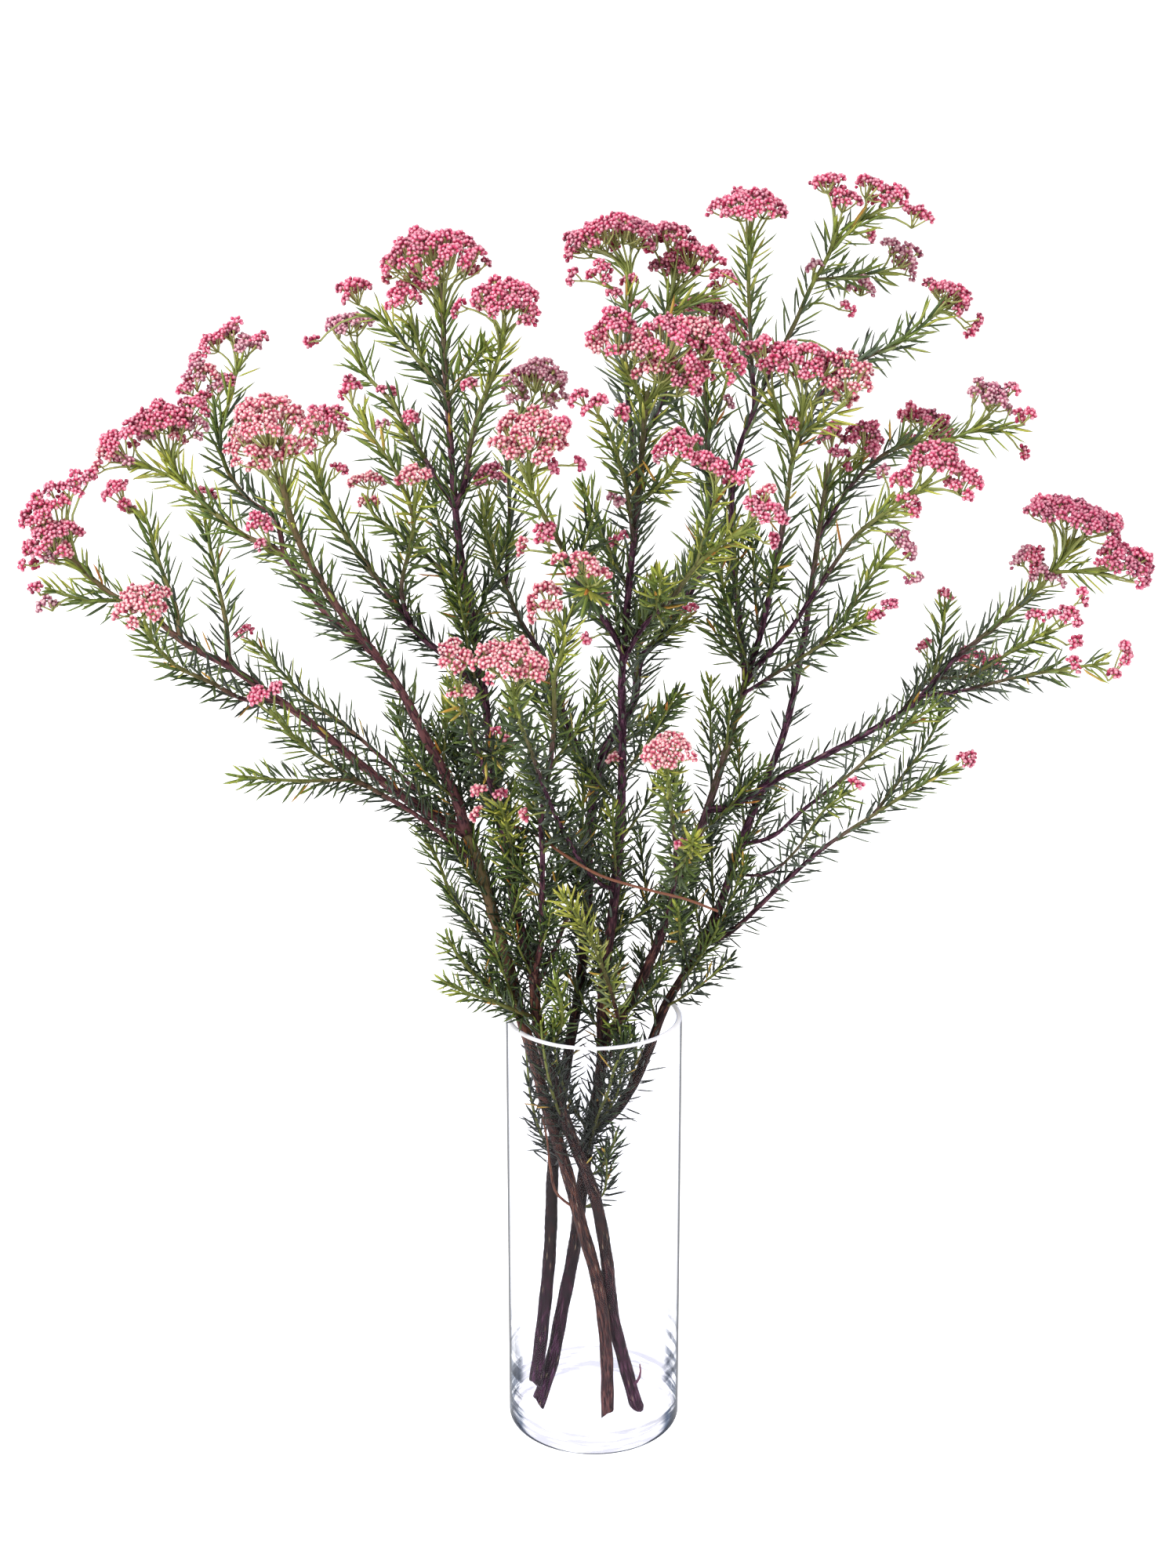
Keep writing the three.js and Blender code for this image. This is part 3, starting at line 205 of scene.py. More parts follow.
  ["brightFront", "right", -60, 1.3, 0.8, [[767, 1362], [783, 1338], [788, 1305], [777, 1257],
    [750, 1192], [716, 1138]]],
  ["shortStalk", "lowerRise", -40, 1, 0.7, [[878, 1235], [870, 1207], [865, 1157]]],
  ["lowTwig", "right", -8, 1, 0.7, [[746, 1500], [762, 1495], [780, 1465], [787, 1442]]],

  ["rearLeft", "rear", 70, 1.8, 1, [[753, 1010], [735, 950], [715, 900], [700, 850], [667, 797],
    [645, 750], [620, 687], [622, 625]]],
  ["rearPurple", "rearLeft", 130, 1.3, 1, [[645, 750], [650, 660], [650, 580], [668, 520]]],
  ["rearTwig", "rear", 95, 1, 0.8, [[901, 560], [920, 510], [932, 468]]],
  ["rearSide", "rear", 40, 1, 0.8, [[830, 825], [860, 800], [876, 790]]],
]

# Shoots too slight for the solids, in the same form: leafy ones and a bare twig inside the glass, a spur on
# one foot, and at the right a shoot that carries a hanging chain of small clumps.
slightShoots = [
  ["inGlassLeft", "middle", -28, 1.0, 0.7, [[728, 1448], [710, 1410], [700, 1375], [693, 1335], [690, 1305]]],
  ["inGlassMiddle", "right", -30, 1.0, 0.7, [[752, 1445], [733, 1415], [720, 1390], [709, 1350],
    [705, 1300]]],
  ["inGlassRight", "right", -26, 1.0, 0.7, [[746, 1485], [762, 1425], [775, 1395], [785, 1360], [806, 1320]]],
  ["inGlassOuter", "lowerRise", 20, 0.9, 0.7, [[800, 1398], [806, 1370], [812, 1345], [806, 1310]]],
  ["inGlassLow", "right", -12, 0.8, 0.5, [[745, 1545], [768, 1525], [774, 1495], [771, 1465]]],
  ["inGlassRear", "rear", 20, 0.9, 0.6, [[706, 1480], [688, 1440], [677, 1400], [672, 1350], [668, 1310]]],
  ["inGlassFront", "right", -20, 0.9, 0.6, [[748, 1470], [760, 1440], [785, 1400], [795, 1350], [790, 1310]]],
  ["chainShoot", "outerTwig", -38, 1.0, 0.7, [[1050, 824], [1080, 782], [1104, 745], [1128, 712],
    [1142, 698]]],
  ["bareTwig", "left", -24, 0.9, 0.5, [[727, 1548], [710, 1522], [702, 1490], [698, 1455], [692, 1425]]],
  ["spur", "middle", -30, 1.1, 0.35, [[800, 1768], [812, 1763], [817, 1752], [816, 1740]]],
]

# Flower heads: branch that carries it, tint, and its domes as picture x, picture y, width and thickness.
heads = [
  ["longLeft", "pink", [[66, 692, 28, 13], [52, 655, 19, 12]]],
  ["curvedShoot", "pink", [[152, 632, 17, 13]]],
  ["lowShoot", "light", [[182, 769, 28, 10]]],
  ["tallLeft", "light", [[343, 553, 46, 26], [340, 590, 20, 14]]],
  ["upperLeft", "pink", [[215, 541, 32, 11]]],
  ["upperTwig", "pink", [[152, 572, 19, 15]]],
  ["shortShoot", "pink", [[338, 680, 17, 14]]],
  ["backLeft", "dull", [[250, 480, 16, 16]]],
  ["backLeftTwig", "dull", [[300, 436, 16, 11]]],

  ["middle", "pink", [[555, 330, 56, 19]]],
  ["middleLeft", "pink", [[415, 548, 29, 18]]],
  ["steepShoot", "light", [[528, 609, 17, 6]]],
  ["besideShoot", "pink", [[447, 500, 15, 12]]],
  ["topLeft", "pink", [[452, 375, 18, 11]]],
  ["topLeftTwig", "pink", [[512, 382, 21, 9]]],
  ["topRight", "pink", [[646, 387, 38, 15]]],
  ["midRise", "dull", [[445, 416, 28, 9]]],
  ["lowRise", "light", [[468, 615, 19, 6]]],
  ["frontRise", "light", [[578, 846, 20, 14]]],
  ["centreRise", "light", [[697, 768, 19, 14]]],

  ["greyTwig", "light", [[655, 845, 33, 11]]],
  ["leftTall", "light", [[676, 560, 40, 17]]],
  ["leftTallTwig", "light", [[744, 722, 17, 9]]],
  ["leftTallSide", "pink", [[697, 687, 14, 12]]],
  ["besideHead", "pink", [[868, 573, 26, 9]]],
  ["boughLeft", "pink", [[785, 430, 26, 18]]],
  ["boughRight", "pink", [[855, 442, 38, 22], [886, 478, 21, 12]]],
  ["darkRise", "pink", [[775, 302, 46, 12]]],
  ["rightRise", "pink", [[852, 306, 30, 12], [882, 332, 32, 12]]],
  ["brightStem", "pink", [[977, 655, 23, 9]]],
  ["brightTwig", "pink", [[915, 603, 16, 11]]],
  ["forkRight", "pink", [[1023, 470, 33, 18]]],
  ["forkRightOuter", "light", [[1087, 487, 22, 20]]],
  ["forkRightInner", "pink", [[974, 460, 20, 18]]],
  ["forkLeft", "pink", [[1076, 258, 18, 9], [1057, 236, 21, 8]]],
  ["forkLeftArc", "pink", [[1112, 243, 20, 9], [1143, 254, 19, 9], [1168, 279, 15, 9]]],
  ["forkLeftSide", "dull", [[1150, 332, 21, 10]]],
  ["paleStem", "pink", [[956, 263, 42, 8]]],
  ["brightOuter", "pink", [[1196, 588, 30, 8], [1228, 615, 22, 12]]],
  ["beyondRise", "pink", [[1207, 376, 29, 7]]],
  ["beyondRight", "dull", [[1262, 509, 29, 11]]],
  ["beyondRightSide", "dark", [[1184, 543, 29, 11]]],
  ["farRight", "dark", [[1372, 660, 52, 10]]],
  ["farRightOuter", "dark", [[1438, 720, 34, 10]]],
  ["farRightMiddle", "pink", [[1358, 789, 16, 10]]],
  ["farRightLow", "pink", [[1430, 846, 12, 16]]],
  ["frontStalk", "light", [[852, 957, 27, 6]]],
  ["lowerRise", "dark", [[1060, 563, 20, 14], [1102, 561, 24, 13]]],

  ["rearLeft", "dark", [[625, 606, 22, 8]]],
  ["rearPurple", "dull", [[685, 488, 36, 18]]],
  ["rear", "dark", [[895, 396, 31, 9]]],
  ["rearTwig", "pink", [[935, 432, 22, 20]]],
]

# Heads of a few buds: branch, picture x, picture y, width.
smallHeads = [
  ["longLeft", 88, 624, 12], ["tailTwig", 46, 752, 9], ["uprightShoot", 261, 626, 10],
  ["innerShoot", 312, 807, 8], ["frontShoot", 352, 877, 7], ["frontShoot", 330, 890, 14],
  ["backLeft", 290, 487, 9],
  ["backLeftTwig", 334, 434, 10], ["topLeft", 400, 438, 9], ["topRight", 600, 491, 10],
  ["topRight", 590, 388, 8], ["frontRise", 642, 944, 11], ["yellowTip", 636, 1012, 8],
  ["darkRise", 800, 362, 10], ["midPale", 522, 538, 13],
  ["slimShoot", 762, 519, 14], ["darkTwig", 766, 350, 14], ["rightRiseTwig", 921, 357, 14],
  ["slimShoot", 792, 692, 9], ["leftTall", 770, 765, 9],
  ["forkLeft", 1078, 395, 8], ["forkLeftSide", 1103, 367, 12], ["brightOuterTwig", 1152, 616, 11],
  ["brightOuterTwig", 1152, 700, 10], ["outerTwig", 1118, 785, 8], ["beyondRightEnd", 1307, 531, 13],
  ["beyondRise", 1240, 411, 9], ["farRightBack", 1270, 848, 12], ["farRight", 1325, 722, 12],
  ["farRightTiny", 1205, 757, 6], ["lowerSparse", 1092, 1000, 8], ["lowOuter", 1232, 969, 11],
  ["leafyCrown", 868, 1078, 6], ["brightStem", 983, 686, 11], ["rearSide", 877, 776, 9],
]

# Side clumps that make the flower masses full: the branch, then tint, picture x, picture y and width of each.
sideClumps = [
  ["backLeftTwig", ["pink", 272, 438, 17], ["pink", 256, 464, 13]], ["backLeft", ["dull", 280, 494, 15]],
  ["upperLeft", ["pink", 246, 523, 18], ["pink", 187, 541, 20]], ["upperTwig", ["pink", 124, 596, 10]],
  ["longLeft", ["pink", 50, 643, 9], ["pink", 112, 611, 9], ["pink", 36, 721, 9]],
  ["tailTwig", ["dull", 62, 770, 12]],
  ["longLeft", ["pink", 68, 627, 10], ["pink", 98, 612, 9], ["pink", 38, 668, 11], ["pink", 92, 676, 12],
    ["pink", 36, 701, 10], ["dull", 68, 712, 12]],
  ["upperTwig", ["pink", 140, 566, 13], ["pink", 168, 552, 14], ["dull", 160, 590, 12]],
  ["upperLeft", ["pink", 208, 522, 15], ["dull", 232, 545, 14]],
  ["backLeft", ["pink", 238, 497, 13], ["pink", 262, 512, 12]],
  ["backLeftTwig", ["pink", 292, 424, 14], ["dull", 318, 446, 13]], ["curvedShoot", ["pink", 160, 645, 11]],
  ["longLeft", ["pink", 78, 640, 12], ["light", 60, 670, 12]], ["upperTwig", ["light", 132, 582, 13]],
  ["upperLeft", ["dull", 190, 560, 13], ["light", 222, 560, 12], ["dull", 250, 548, 13]],
  ["longLeft", ["light", 84, 700, 11]], ["backLeft", ["light", 268, 478, 12]],
  ["tallLeft", ["light", 372, 572, 14], ["light", 312, 566, 13]], ["lowShoot", ["light", 160, 778, 10]],
  ["middle", ["light", 500, 341, 15], ["pink", 530, 352, 15], ["light", 596, 345, 15],
    ["pink", 540, 368, 11]],
  ["topRight", ["light", 622, 392, 12], ["pink", 672, 398, 13]], ["midRise", ["pink", 492, 497, 10]],
  ["midPale", ["dull", 488, 545, 9]], ["middleLeft", ["pink", 433, 602, 9]],
  ["lowRise", ["light", 472, 640, 8]], ["frontRise", ["light", 579, 888, 9], ["light", 598, 879, 8]],
  ["yellowTip", ["light", 610, 1011, 7], ["light", 608, 1040, 6]],
  ["greyTwig", ["light", 671, 1040, 6], ["light", 624, 842, 17], ["light", 676, 858, 16]],
  ["centreRise", ["light", 682, 782, 11]], ["leftTallSide", ["light", 668, 696, 9]],
  ["leftTallTwig", ["light", 714, 713, 10], ["light", 765, 736, 10]],
  ["leftTall", ["dark", 703, 592, 10], ["dark", 735, 590, 9], ["pink", 717, 536, 9], ["light", 655, 575, 14],
    ["light", 698, 572, 14]],
  ["rearPurple", ["dull", 665, 510, 15], ["dull", 700, 512, 14], ["dark", 672, 478, 15],
    ["dull", 712, 490, 14], ["dull", 652, 492, 12]],
  ["darkTwig", ["pink", 735, 352, 10], ["pink", 783, 376, 9]],
  ["darkRise", ["pink", 817, 388, 9], ["dark", 812, 301, 24], ["pink", 738, 313, 15]],
  ["rightRise", ["dark", 866, 345, 22], ["dark", 842, 340, 14]],
  ["slimShoot", ["pink", 793, 531, 12], ["dull", 786, 640, 9], ["pink", 742, 510, 11]],
  ["boughLeft", ["light", 765, 440, 14], ["light", 815, 448, 22]],
  ["boughRight", ["light", 838, 474, 22], ["pink", 872, 494, 18], ["pink", 912, 446, 24],
    ["pink", 935, 470, 16], ["light", 893, 425, 20]],
  ["rear", ["dark", 922, 404, 18]], ["rearTwig", ["dull", 926, 512, 9], ["pink", 958, 452, 16]],
  ["brightTwig", ["pink", 903, 592, 13], ["pink", 932, 612, 11]],
  ["brightStem", ["pink", 953, 604, 11], ["light", 977, 631, 12]], ["besideHead", ["dull", 846, 580, 10]],
  ["rearLeft", ["dark", 605, 612, 11]], ["frontStalk", ["light", 832, 957, 9]],
  ["right", ["light", 783, 969, 8]], ["leftTall", ["pink", 750, 812, 8]],
  ["forkRight", ["pink", 1000, 455, 20], ["pink", 1052, 468, 20], ["light", 1062, 495, 14]],
  ["forkLeft", ["dark", 1071, 451, 9], ["dull", 1036, 341, 9]], ["forkRight", ["pink", 1015, 541, 8]],
  ["lowerRise", ["dark", 1072, 585, 11], ["pink", 1108, 572, 14]], ["forkLeftArc", ["pink", 1109, 300, 8]],
  ["forkLeftSide", ["dull", 1136, 315, 11], ["dull", 1162, 345, 10], ["dull", 1099, 366, 15]],
  ["beyondRise", ["pink", 1238, 421, 10], ["pink", 1222, 397, 8], ["pink", 1228, 378, 10]],
  ["beyondRightSide", ["pink", 1161, 528, 13], ["pink", 1204, 563, 16]],
  ["brightOuter", ["pink", 1163, 652, 9]], ["brightOuterTwig", ["dull", 1127, 604, 8]],
  ["brightOuter", ["pink", 1170, 592, 12]], ["beyondRight", ["pink", 1289, 497, 12], ["pink", 1305, 575, 8]],
  ["outerTwig", ["dark", 1132, 770, 8]], ["chainShoot", ["dull", 1164, 731, 10]],
  ["farRight", ["pink", 1330, 648, 16], ["pink", 1418, 672, 14], ["dull", 1301, 713, 13],
    ["dull", 1345, 738, 12]],
  ["farRightOuter", ["pink", 1460, 712, 12], ["pink", 1412, 716, 12]],
  ["farRightMiddle", ["pink", 1378, 761, 10], ["pink", 1320, 781, 9], ["pink", 1370, 821, 10]],
  ["farRightLow", ["pink", 1367, 849, 9], ["pink", 1419, 860, 10]],
  ["farRightBack", ["pink", 1181, 829, 10], ["dark", 1236, 838, 18], ["dark", 1262, 852, 13]],
  ["brightOuter", ["pink", 1148, 612, 13], ["pink", 1158, 640, 12]],
  ["chainShoot", ["dull", 1148, 690, 13], ["dull", 1158, 706, 12]],
  ["farRight", ["pink", 1318, 712, 14], ["dull", 1332, 735, 13]], ["forkRight", ["light", 1080, 505, 13]],
]


# Vectors made one long: vector / its own length.
def unit(vectors):
    return vectors / np.linalg.norm(vectors, axis=-1, keepdims=True)


# How far a value has come from start to end: (value - start) / (end - start), held between 0 and 1.
def shareOf(value, start, end):
    return np.clip((value - start) / (end - start), 0, 1)


# The value at a share of the way through a pair: first + (second - first) share.
def between(pair, share):
    return pair[0] + (pair[1] - pair[0]) * share


# Where picture points lie in space once their depth is known. With s and r how far a point is right of and
# above the picture's middle over the focal length, and a the tilt: reach = (depth + distance) /
# (cos a + r sin a), and the place is (side + reach s, depth, height + reach (r cos a - sin a)).
def inSpace(seen, depth):
    seen = np.asarray(seen, float)
    depth = np.broadcast_to(depth, seen.shape[:-1])
    s = (seen[..., 0] - eye["middle"][0]) / eye["focal"]
    r = (eye["middle"][1] - seen[..., 1]) / eye["focal"]
    reach = (depth + eye["distance"]) / (np.cos(eye["tilt"]) + r * np.sin(eye["tilt"]))
    rise = reach * (r * np.cos(eye["tilt"]) - np.sin(eye["tilt"]))
    return np.stack([eye["side"] + reach * s, depth, eye["height"] + rise], -1)


# A smooth line through points: centripetal Catmull-Rom, where each span is the cubic between two points whose
# end slopes come from the neighbours, weighed by the square roots of the distances between them.
def smoothLine(points, perSpan=20):
    p = np.vstack([2 * points[0] - points[1], points, 2 * points[-1] - points[-2]])
    a, b, c, d = p[:-3], p[1:-2], p[2:-1], p[3:]
    ab, bc, cd = (np.sqrt(np.linalg.norm(v - u, axis=1))[:, None] for u, v in ((a, b), (b, c), (c, d)))
    leaving = ((b - a) / ab - (c - a) / (ab + bc) + (c - b) / bc) * bc
    arriving = ((c - b) / bc - (d - b) / (bc + cd) + (d - c) / cd) * bc
    b, c, leaving, arriving = (v[:, None] for v in (b, c, leaving, arriving))
    t = np.linspace(0, 1, perSpan, endpoint=False)[None, :, None]
    spans = b + leaving * t + (3 * (c - b) - 2 * leaving - arriving) * t**2
    spans = spans + (2 * (b - c) + leaving + arriving) * t**3
    return np.vstack([spans.reshape(-1, 3), p[-2]])


# Distances along a line of points from its start: the running sum of its steps.
def reachAlong(points):
    return np.concatenate([[0], np.cumsum(np.linalg.norm(np.diff(points, axis=0), axis=1))])


# The place at each distance along a branch, straight between the close points of its line.
def placeAt(branch, distance):
    return np.stack([np.interp(distance, branch["reach"], branch["line"][:, i]) for i in range(3)], -1)


# The direction of a branch: from the place a little before to the place a little after.
def directionAt(branch, distance, near=1.5):
    return unit(placeAt(branch, distance + near) - placeAt(branch, distance - near))


# Radius falls evenly from root to tip, with a flare at a fork and a slow waviness all along: even =
# root + (tip - root) distance / length, times 1 + flare e^(-distance / (flareReach root)) + wave
# sin(turn distance / waveLength + length). A main stem has no flare.
def radiusAt(branch, distance):
    root, tip = branch["radii"]
    even = root + (tip - root) * distance / branch["length"]
    flare = 0.0 if branch["isMain"] else bark["flare"] * np.exp(-distance / (bark["flareReach"] * root))
    wave = np.sin(distance / bark["waveLength"] * bark["turn"] + branch["length"])
    return even * (1 + flare + bark["wave"] * wave)


# Two directions square to each given one, with side x other = direction.
def square(direction):
    helper = np.where(np.abs(direction[..., 2:]) < 0.9, up, np.array([1.0, 0.0, 0.0]))
    side = unit(np.cross(helper, direction))
    return side, np.cross(direction, side)


# The directions at given turns round an axis: cos(turn) side + sin(turn) other.
def aroundAxis(turn, side, other):
    return np.cos(turn)[:, None] * side + np.sin(turn)[:, None] * other


branches = {}


# Keeps a branch under its name, as close points of a smooth line and their distances from the root.
def keepBranch(name, stem, points, radii, isMain):
    line = smoothLine(points)
    reach = reachAlong(line)
    branches[name] = {"name": name, "stem": stem, "line": line, "reach": reach, "length": reach[-1],
                      "radii": radii, "isMain": isMain}


# Distance along a branch of its point nearest to a picture point, compared at the branch's own depth.
def distanceSeenAt(branch, seen):
    seen = np.broadcast_to(np.asarray(seen, float), (len(branch["line"]), 2))
    offset = branch["line"] - inSpace(seen, branch["line"][:, 1])
    return branch["reach"][np.argmin(np.linalg.norm(offset, axis=1))]


for name, route in mainStems.items():
    seen = np.array(route["seen"], float)
    pairs = np.array(route["depths"], float)[::-1]
    depth = np.interp(seen[:, 1], pairs[:, 0], pairs[:, 1])
    keepBranch(name, name, inSpace(seen, depth), route["radii"], True)

for name, parentName, tipDepth, rootRadius, tipRadius, seen in sideBranches + slightShoots:
    parent = branches[parentName]
    root = placeAt(parent, distanceSeenAt(parent, seen[0]))
    seen = np.array(seen, float)
    share = reachAlong(seen)
    share = share / share[-1]
    points = inSpace(seen, root[1] + (tipDepth - root[1]) * share)
    points[0] = root
    keepBranch(name, parent["stem"], points, (rootRadius, tipRadius), False)
print("routes:", len(branches))

# How heads sit: their lean towards upright, how thick a small one is for its width, the room in millimetres
# that leaves keep from them, and the share of their thickness that counts for it.
headForm = {"lean": 1.3, "smallThick": 0.5, "leafRoom": 1.5, "kept": 0.7}


# Heads as low domes: the middle is at the depth of the tip that carries it, and the axis leans from the tip's
# own direction towards straight up: direction + lean x up.
def domeOf(branchName, across, down, width, thickness):
    branch = branches[branchName]
    tip = placeAt(branch, branch["length"])
    axis = unit(directionAt(branch, branch["length"]) + headForm["lean"] * up)
    centre = inSpace([across, down], tip[1])
    return {"centre": centre, "axis": axis, "radius": width / 2, "thickness": thickness, "branch": branch}


# A small head stands on a stalk from the nearest place of its branch, and leans with that stalk.
def smallDomeOf(branchName, across, down, width, tint="pink"):
    branch = branches[branchName]
    fork = placeAt(branch, distanceSeenAt(branch, (across, down)))
    centre = inSpace([across, down], fork[1])
    axis = unit(centre - fork + up * width)
    return {"centre": centre, "axis": axis, "radius": width / 2, "thickness": width * headForm["smallThick"],
            "branch": branch, "tint": tint}


headList = []
for number, (branchName, tint, places) in enumerate(heads, 1):
    stem = branches[branchName]["stem"]
    headList.append({"node": f"head_{stem}_{number}", "stem": stem, "tint": tint,
                     "domes": [domeOf(branchName, *place) for place in places]})
smallDomes = [smallDomeOf(*entry) for entry in smallHeads]
smallDomes += [smallDomeOf(name, *place, tint) for name, *clumps in sideClumps for tint, *place in clumps]
allDomes = [dome for head in headList for dome in head["domes"]] + smallDomes


# Whether points are outside every dome's ellipsoid: (across / wide)^2 + (along / tall)^2 > 1.
def clearOfHeads(points, room):
    clear = np.ones(points.shape[:-1], bool)
    for dome in allDomes:
        offset = points - dome["centre"]
        along = offset @ dome["axis"]
        across = np.linalg.norm(offset, axis=-1) ** 2 - along**2
        wide = dome["radius"] + room
        tall = dome["thickness"] * headForm["kept"] + room
        clear &= across / wide**2 + (along / tall) ** 2 > 1
    return clear


# Whether points are clear of the glass: inside the vase's bore, or above its rim.
def clearOfGlass(points):
    radial = np.linalg.norm(points[..., :2], axis=-1)
    return (points[..., 2] > filler["glassTop"]) | (radial < filler["glassRadius"])


# Leafy side shoots too many to read off one by one. They stand along the thicker wood near the middle, closer
# together low down, lean out by their angle and bend up as they grow: point(t) = root + length
# (t (cos a direction + sin a outward) + lift t^2 up). One that would meet the glass or a head, or reach far
# out to a side, is left out.
filler = {"bottom": 238.0, "top": 540.0, "pitch": (11.5, 34.0), "pitchDrift": (0.7, 1.3), "first": 6.0,
          "beforeTip": 40.0, "length": (32.0, 62.0), "angle": (24.0, 50.0), "lift": 0.2, "points": 7,
          "radii": (0.85, 0.55), "thinnest": 1.45, "widest": 98.0, "reach": 112.0, "glassRadius": 44.5,
          "glassTop": 259.0, "room": 6.0}


def growFillers(bearer):
    distance, i = filler["first"], 0
    while distance < bearer["length"] - filler["beforeTip"]:
        root = placeAt(bearer, distance)
        share = shareOf(root[2], filler["bottom"], filler["top"])
        turn, angle = i * goldenAngle + bearer["length"], np.radians(rng.uniform(*filler["angle"]))
        length = rng.uniform(*filler["length"])
        inside = filler["bottom"] < root[2] < filler["top"] and np.hypot(root[0], root[1]) < filler["widest"]
        direction = directionAt(bearer, distance)
        side, other = square(direction)
        outward = np.cos(turn) * side + np.sin(turn) * other
        t = np.linspace(0, 1, filler["points"])[:, None]
        line = root + length * (t * (np.cos(angle) * direction + np.sin(angle) * outward)
                                + filler["lift"] * t**2 * up)
        inside = inside and np.hypot(line[-1, 0], line[-1, 1]) < filler["reach"]
        i += 1
        distance += between(filler["pitch"], share) * rng.uniform(*filler["pitchDrift"])
        if inside and clearOfGlass(line).all() and clearOfHeads(line, filler["room"]).all():
            keepBranch(f"filler{len(branches)}", bearer["stem"], line, filler["radii"], False)


for bearer in list(branches.values()):
    if bearer["radii"][0] >= filler["thinnest"]:
        growFillers(bearer)
print("with fillers:", len(branches))


# Mesh parts are kept as a dictionary of points (n, 3), triangles (m, 3) and named values for each point.
# Joined, each part's triangles count on from the points of the parts before it.
def joined(parts):
    offsets = np.cumsum([0] + [len(part["points"]) for part in parts[:-1]])
    together = {key: np.concatenate([part[key] for part in parts]) for key in parts[0] if key != "faces"}
    together["faces"] = np.concatenate([part["faces"] + start for part, start in zip(parts, offsets)])
    return together


# Triangles of many closed tubes at once. Each has `rings` rings of `sides` points, then a point that closes
# its start and one that closes its end. Faces run round first and then along, so that they point outwards.
def tubeFaces(count, rings, sides):
    ring, place = np.meshgrid(np.arange(rings - 1), np.arange(sides), indexing="ij")
    here = ring * sides + place
    beside = ring * sides + (place + 1) % sides
    quads = np.stack([here, beside, beside + sides, here, beside + sides, here + sides], -1).reshape(-1, 3)
    around = np.arange(sides)
    following = (around + 1) % sides
    start = np.stack([np.full(sides, rings * sides), following, around], -1)
    final = (rings - 1) * sides
    end = np.stack([np.full(sides, rings * sides + 1), final + around, final + following], -1)
    one = np.concatenate([quads, start, end])
    return (one[None] + (np.arange(count) * (rings * sides + 2))[:, None, None]).reshape(-1, 3)


# Many small closed tubes along curved middle lines: point = centre + radius (cos(turn) side + flat sin(turn)
# other). centres is (n, rings, 3), side and other are (n, 3), radius is (n, rings), and flat says how thick a
# section is against its width.
def smallTubes(centres, side, other, radius, sides, flat=1.0, ends=None):
    count, rings = radius.shape
    turn = np.arange(sides) * 2 * np.pi / sides
    across = radius[..., None, None] * np.cos(turn)[:, None] * side[:, None, None]
    deep = flat * radius[..., None, None] * np.sin(turn)[:, None] * other[:, None, None]
    points = (centres[:, :, None] + across + deep).reshape(count, rings * sides, 3)
    start, end = (centres[:, 0], centres[:, -1]) if ends is None else ends
    points = np.concatenate([points, start[:, None], end[:, None]], 1)
    return points.reshape(-1, 3), tubeFaces(count, rings, sides)


# A value known for each ring, spread over the points of smallTubes.
def overTubes(values, sides):
    count = len(values)
    body = np.repeat(values, sides, axis=1)
    return np.concatenate([body, values[:, :1], values[:, -1:]], 1).reshape(count * (body.shape[1] + 2))


# Puts a mesh part into Blender as one smooth piece, in metres, with its named values as attributes.
def makePiece(name, part, material, nodes):
    mesh = bpy.data.meshes.new(name)
    faces = part["faces"].astype(np.int32)
    mesh.vertices.add(len(part["points"]))
    mesh.vertices.foreach_set("co", (part["points"] / 1000).astype(np.float32).ravel())
    mesh.loops.add(faces.size)
    mesh.loops.foreach_set("vertex_index", faces.ravel())
    mesh.polygons.add(len(faces))
    mesh.polygons.foreach_set("loop_start", np.arange(0, faces.size, 3, dtype=np.int32))
    mesh.polygons.foreach_set("use_smooth", np.ones(len(faces), dtype=bool))
    mesh.update(calc_edges=True)
    for key, values in part.items():
        if key in ("points", "faces"):
            continue
        isVector = values.ndim == 2
        attribute = mesh.attributes.new(key, "FLOAT_VECTOR" if isVector else "FLOAT", "POINT")
        attribute.data.foreach_set("vector" if isVector else "value", values.astype(np.float32).ravel())
    mesh.materials.append(material)
    piece = bpy.data.objects.new(name, mesh)
    bpy.context.scene.collection.objects.link(piece)
    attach(piece, "root")
    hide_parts(*nodes)
    print(f"{name}: {len(faces)} triangles")


# An sRGB hex colour as the linear values that shaders use: v / 12.92 where v is small, else
# ((v + 0.055) / 1.055)^2.4.
def linear(hexColour):
    parts = np.array([int(hexColour[i:i + 2], 16) for i in (1, 3, 5)]) / 255
    return (*np.where(parts <= 0.04045, parts / 12.92, ((parts + 0.055) / 1.055) ** 2.4), 1.0)


# Adds a node with its settings, the values or links of its inputs, and the stops of its colour ramp. A node
# given as an input is linked from its first output.
def addNode(tree, kind, inputs=None, stops=(), **settings):
    new = tree.nodes.new("ShaderNode" + kind)
    for key, value in settings.items():
        setattr(new, key, value)
    for key, value in (inputs or {}).items():
        if isinstance(value, bpy.types.Node):
            value = next(socket for socket in value.outputs if socket.enabled)
        if isinstance(value, bpy.types.NodeSocket):
            tree.links.new(value, new.inputs[key])
        else:
            new.inputs[key].default_value = value
    for i, (position, colour) in enumerate(stops):
        elements = new.color_ramp.elements
        element = elements[i] if i < 2 else elements.new(position)
        element.position = position
        element.color = linear(colour)
    return new


# A new material and its empty node tree.
def newMaterial(name):
    material = bpy.data.materials.new(name)
    material.use_nodes = True
    material.node_tree.nodes.clear()
    return material, material.node_tree


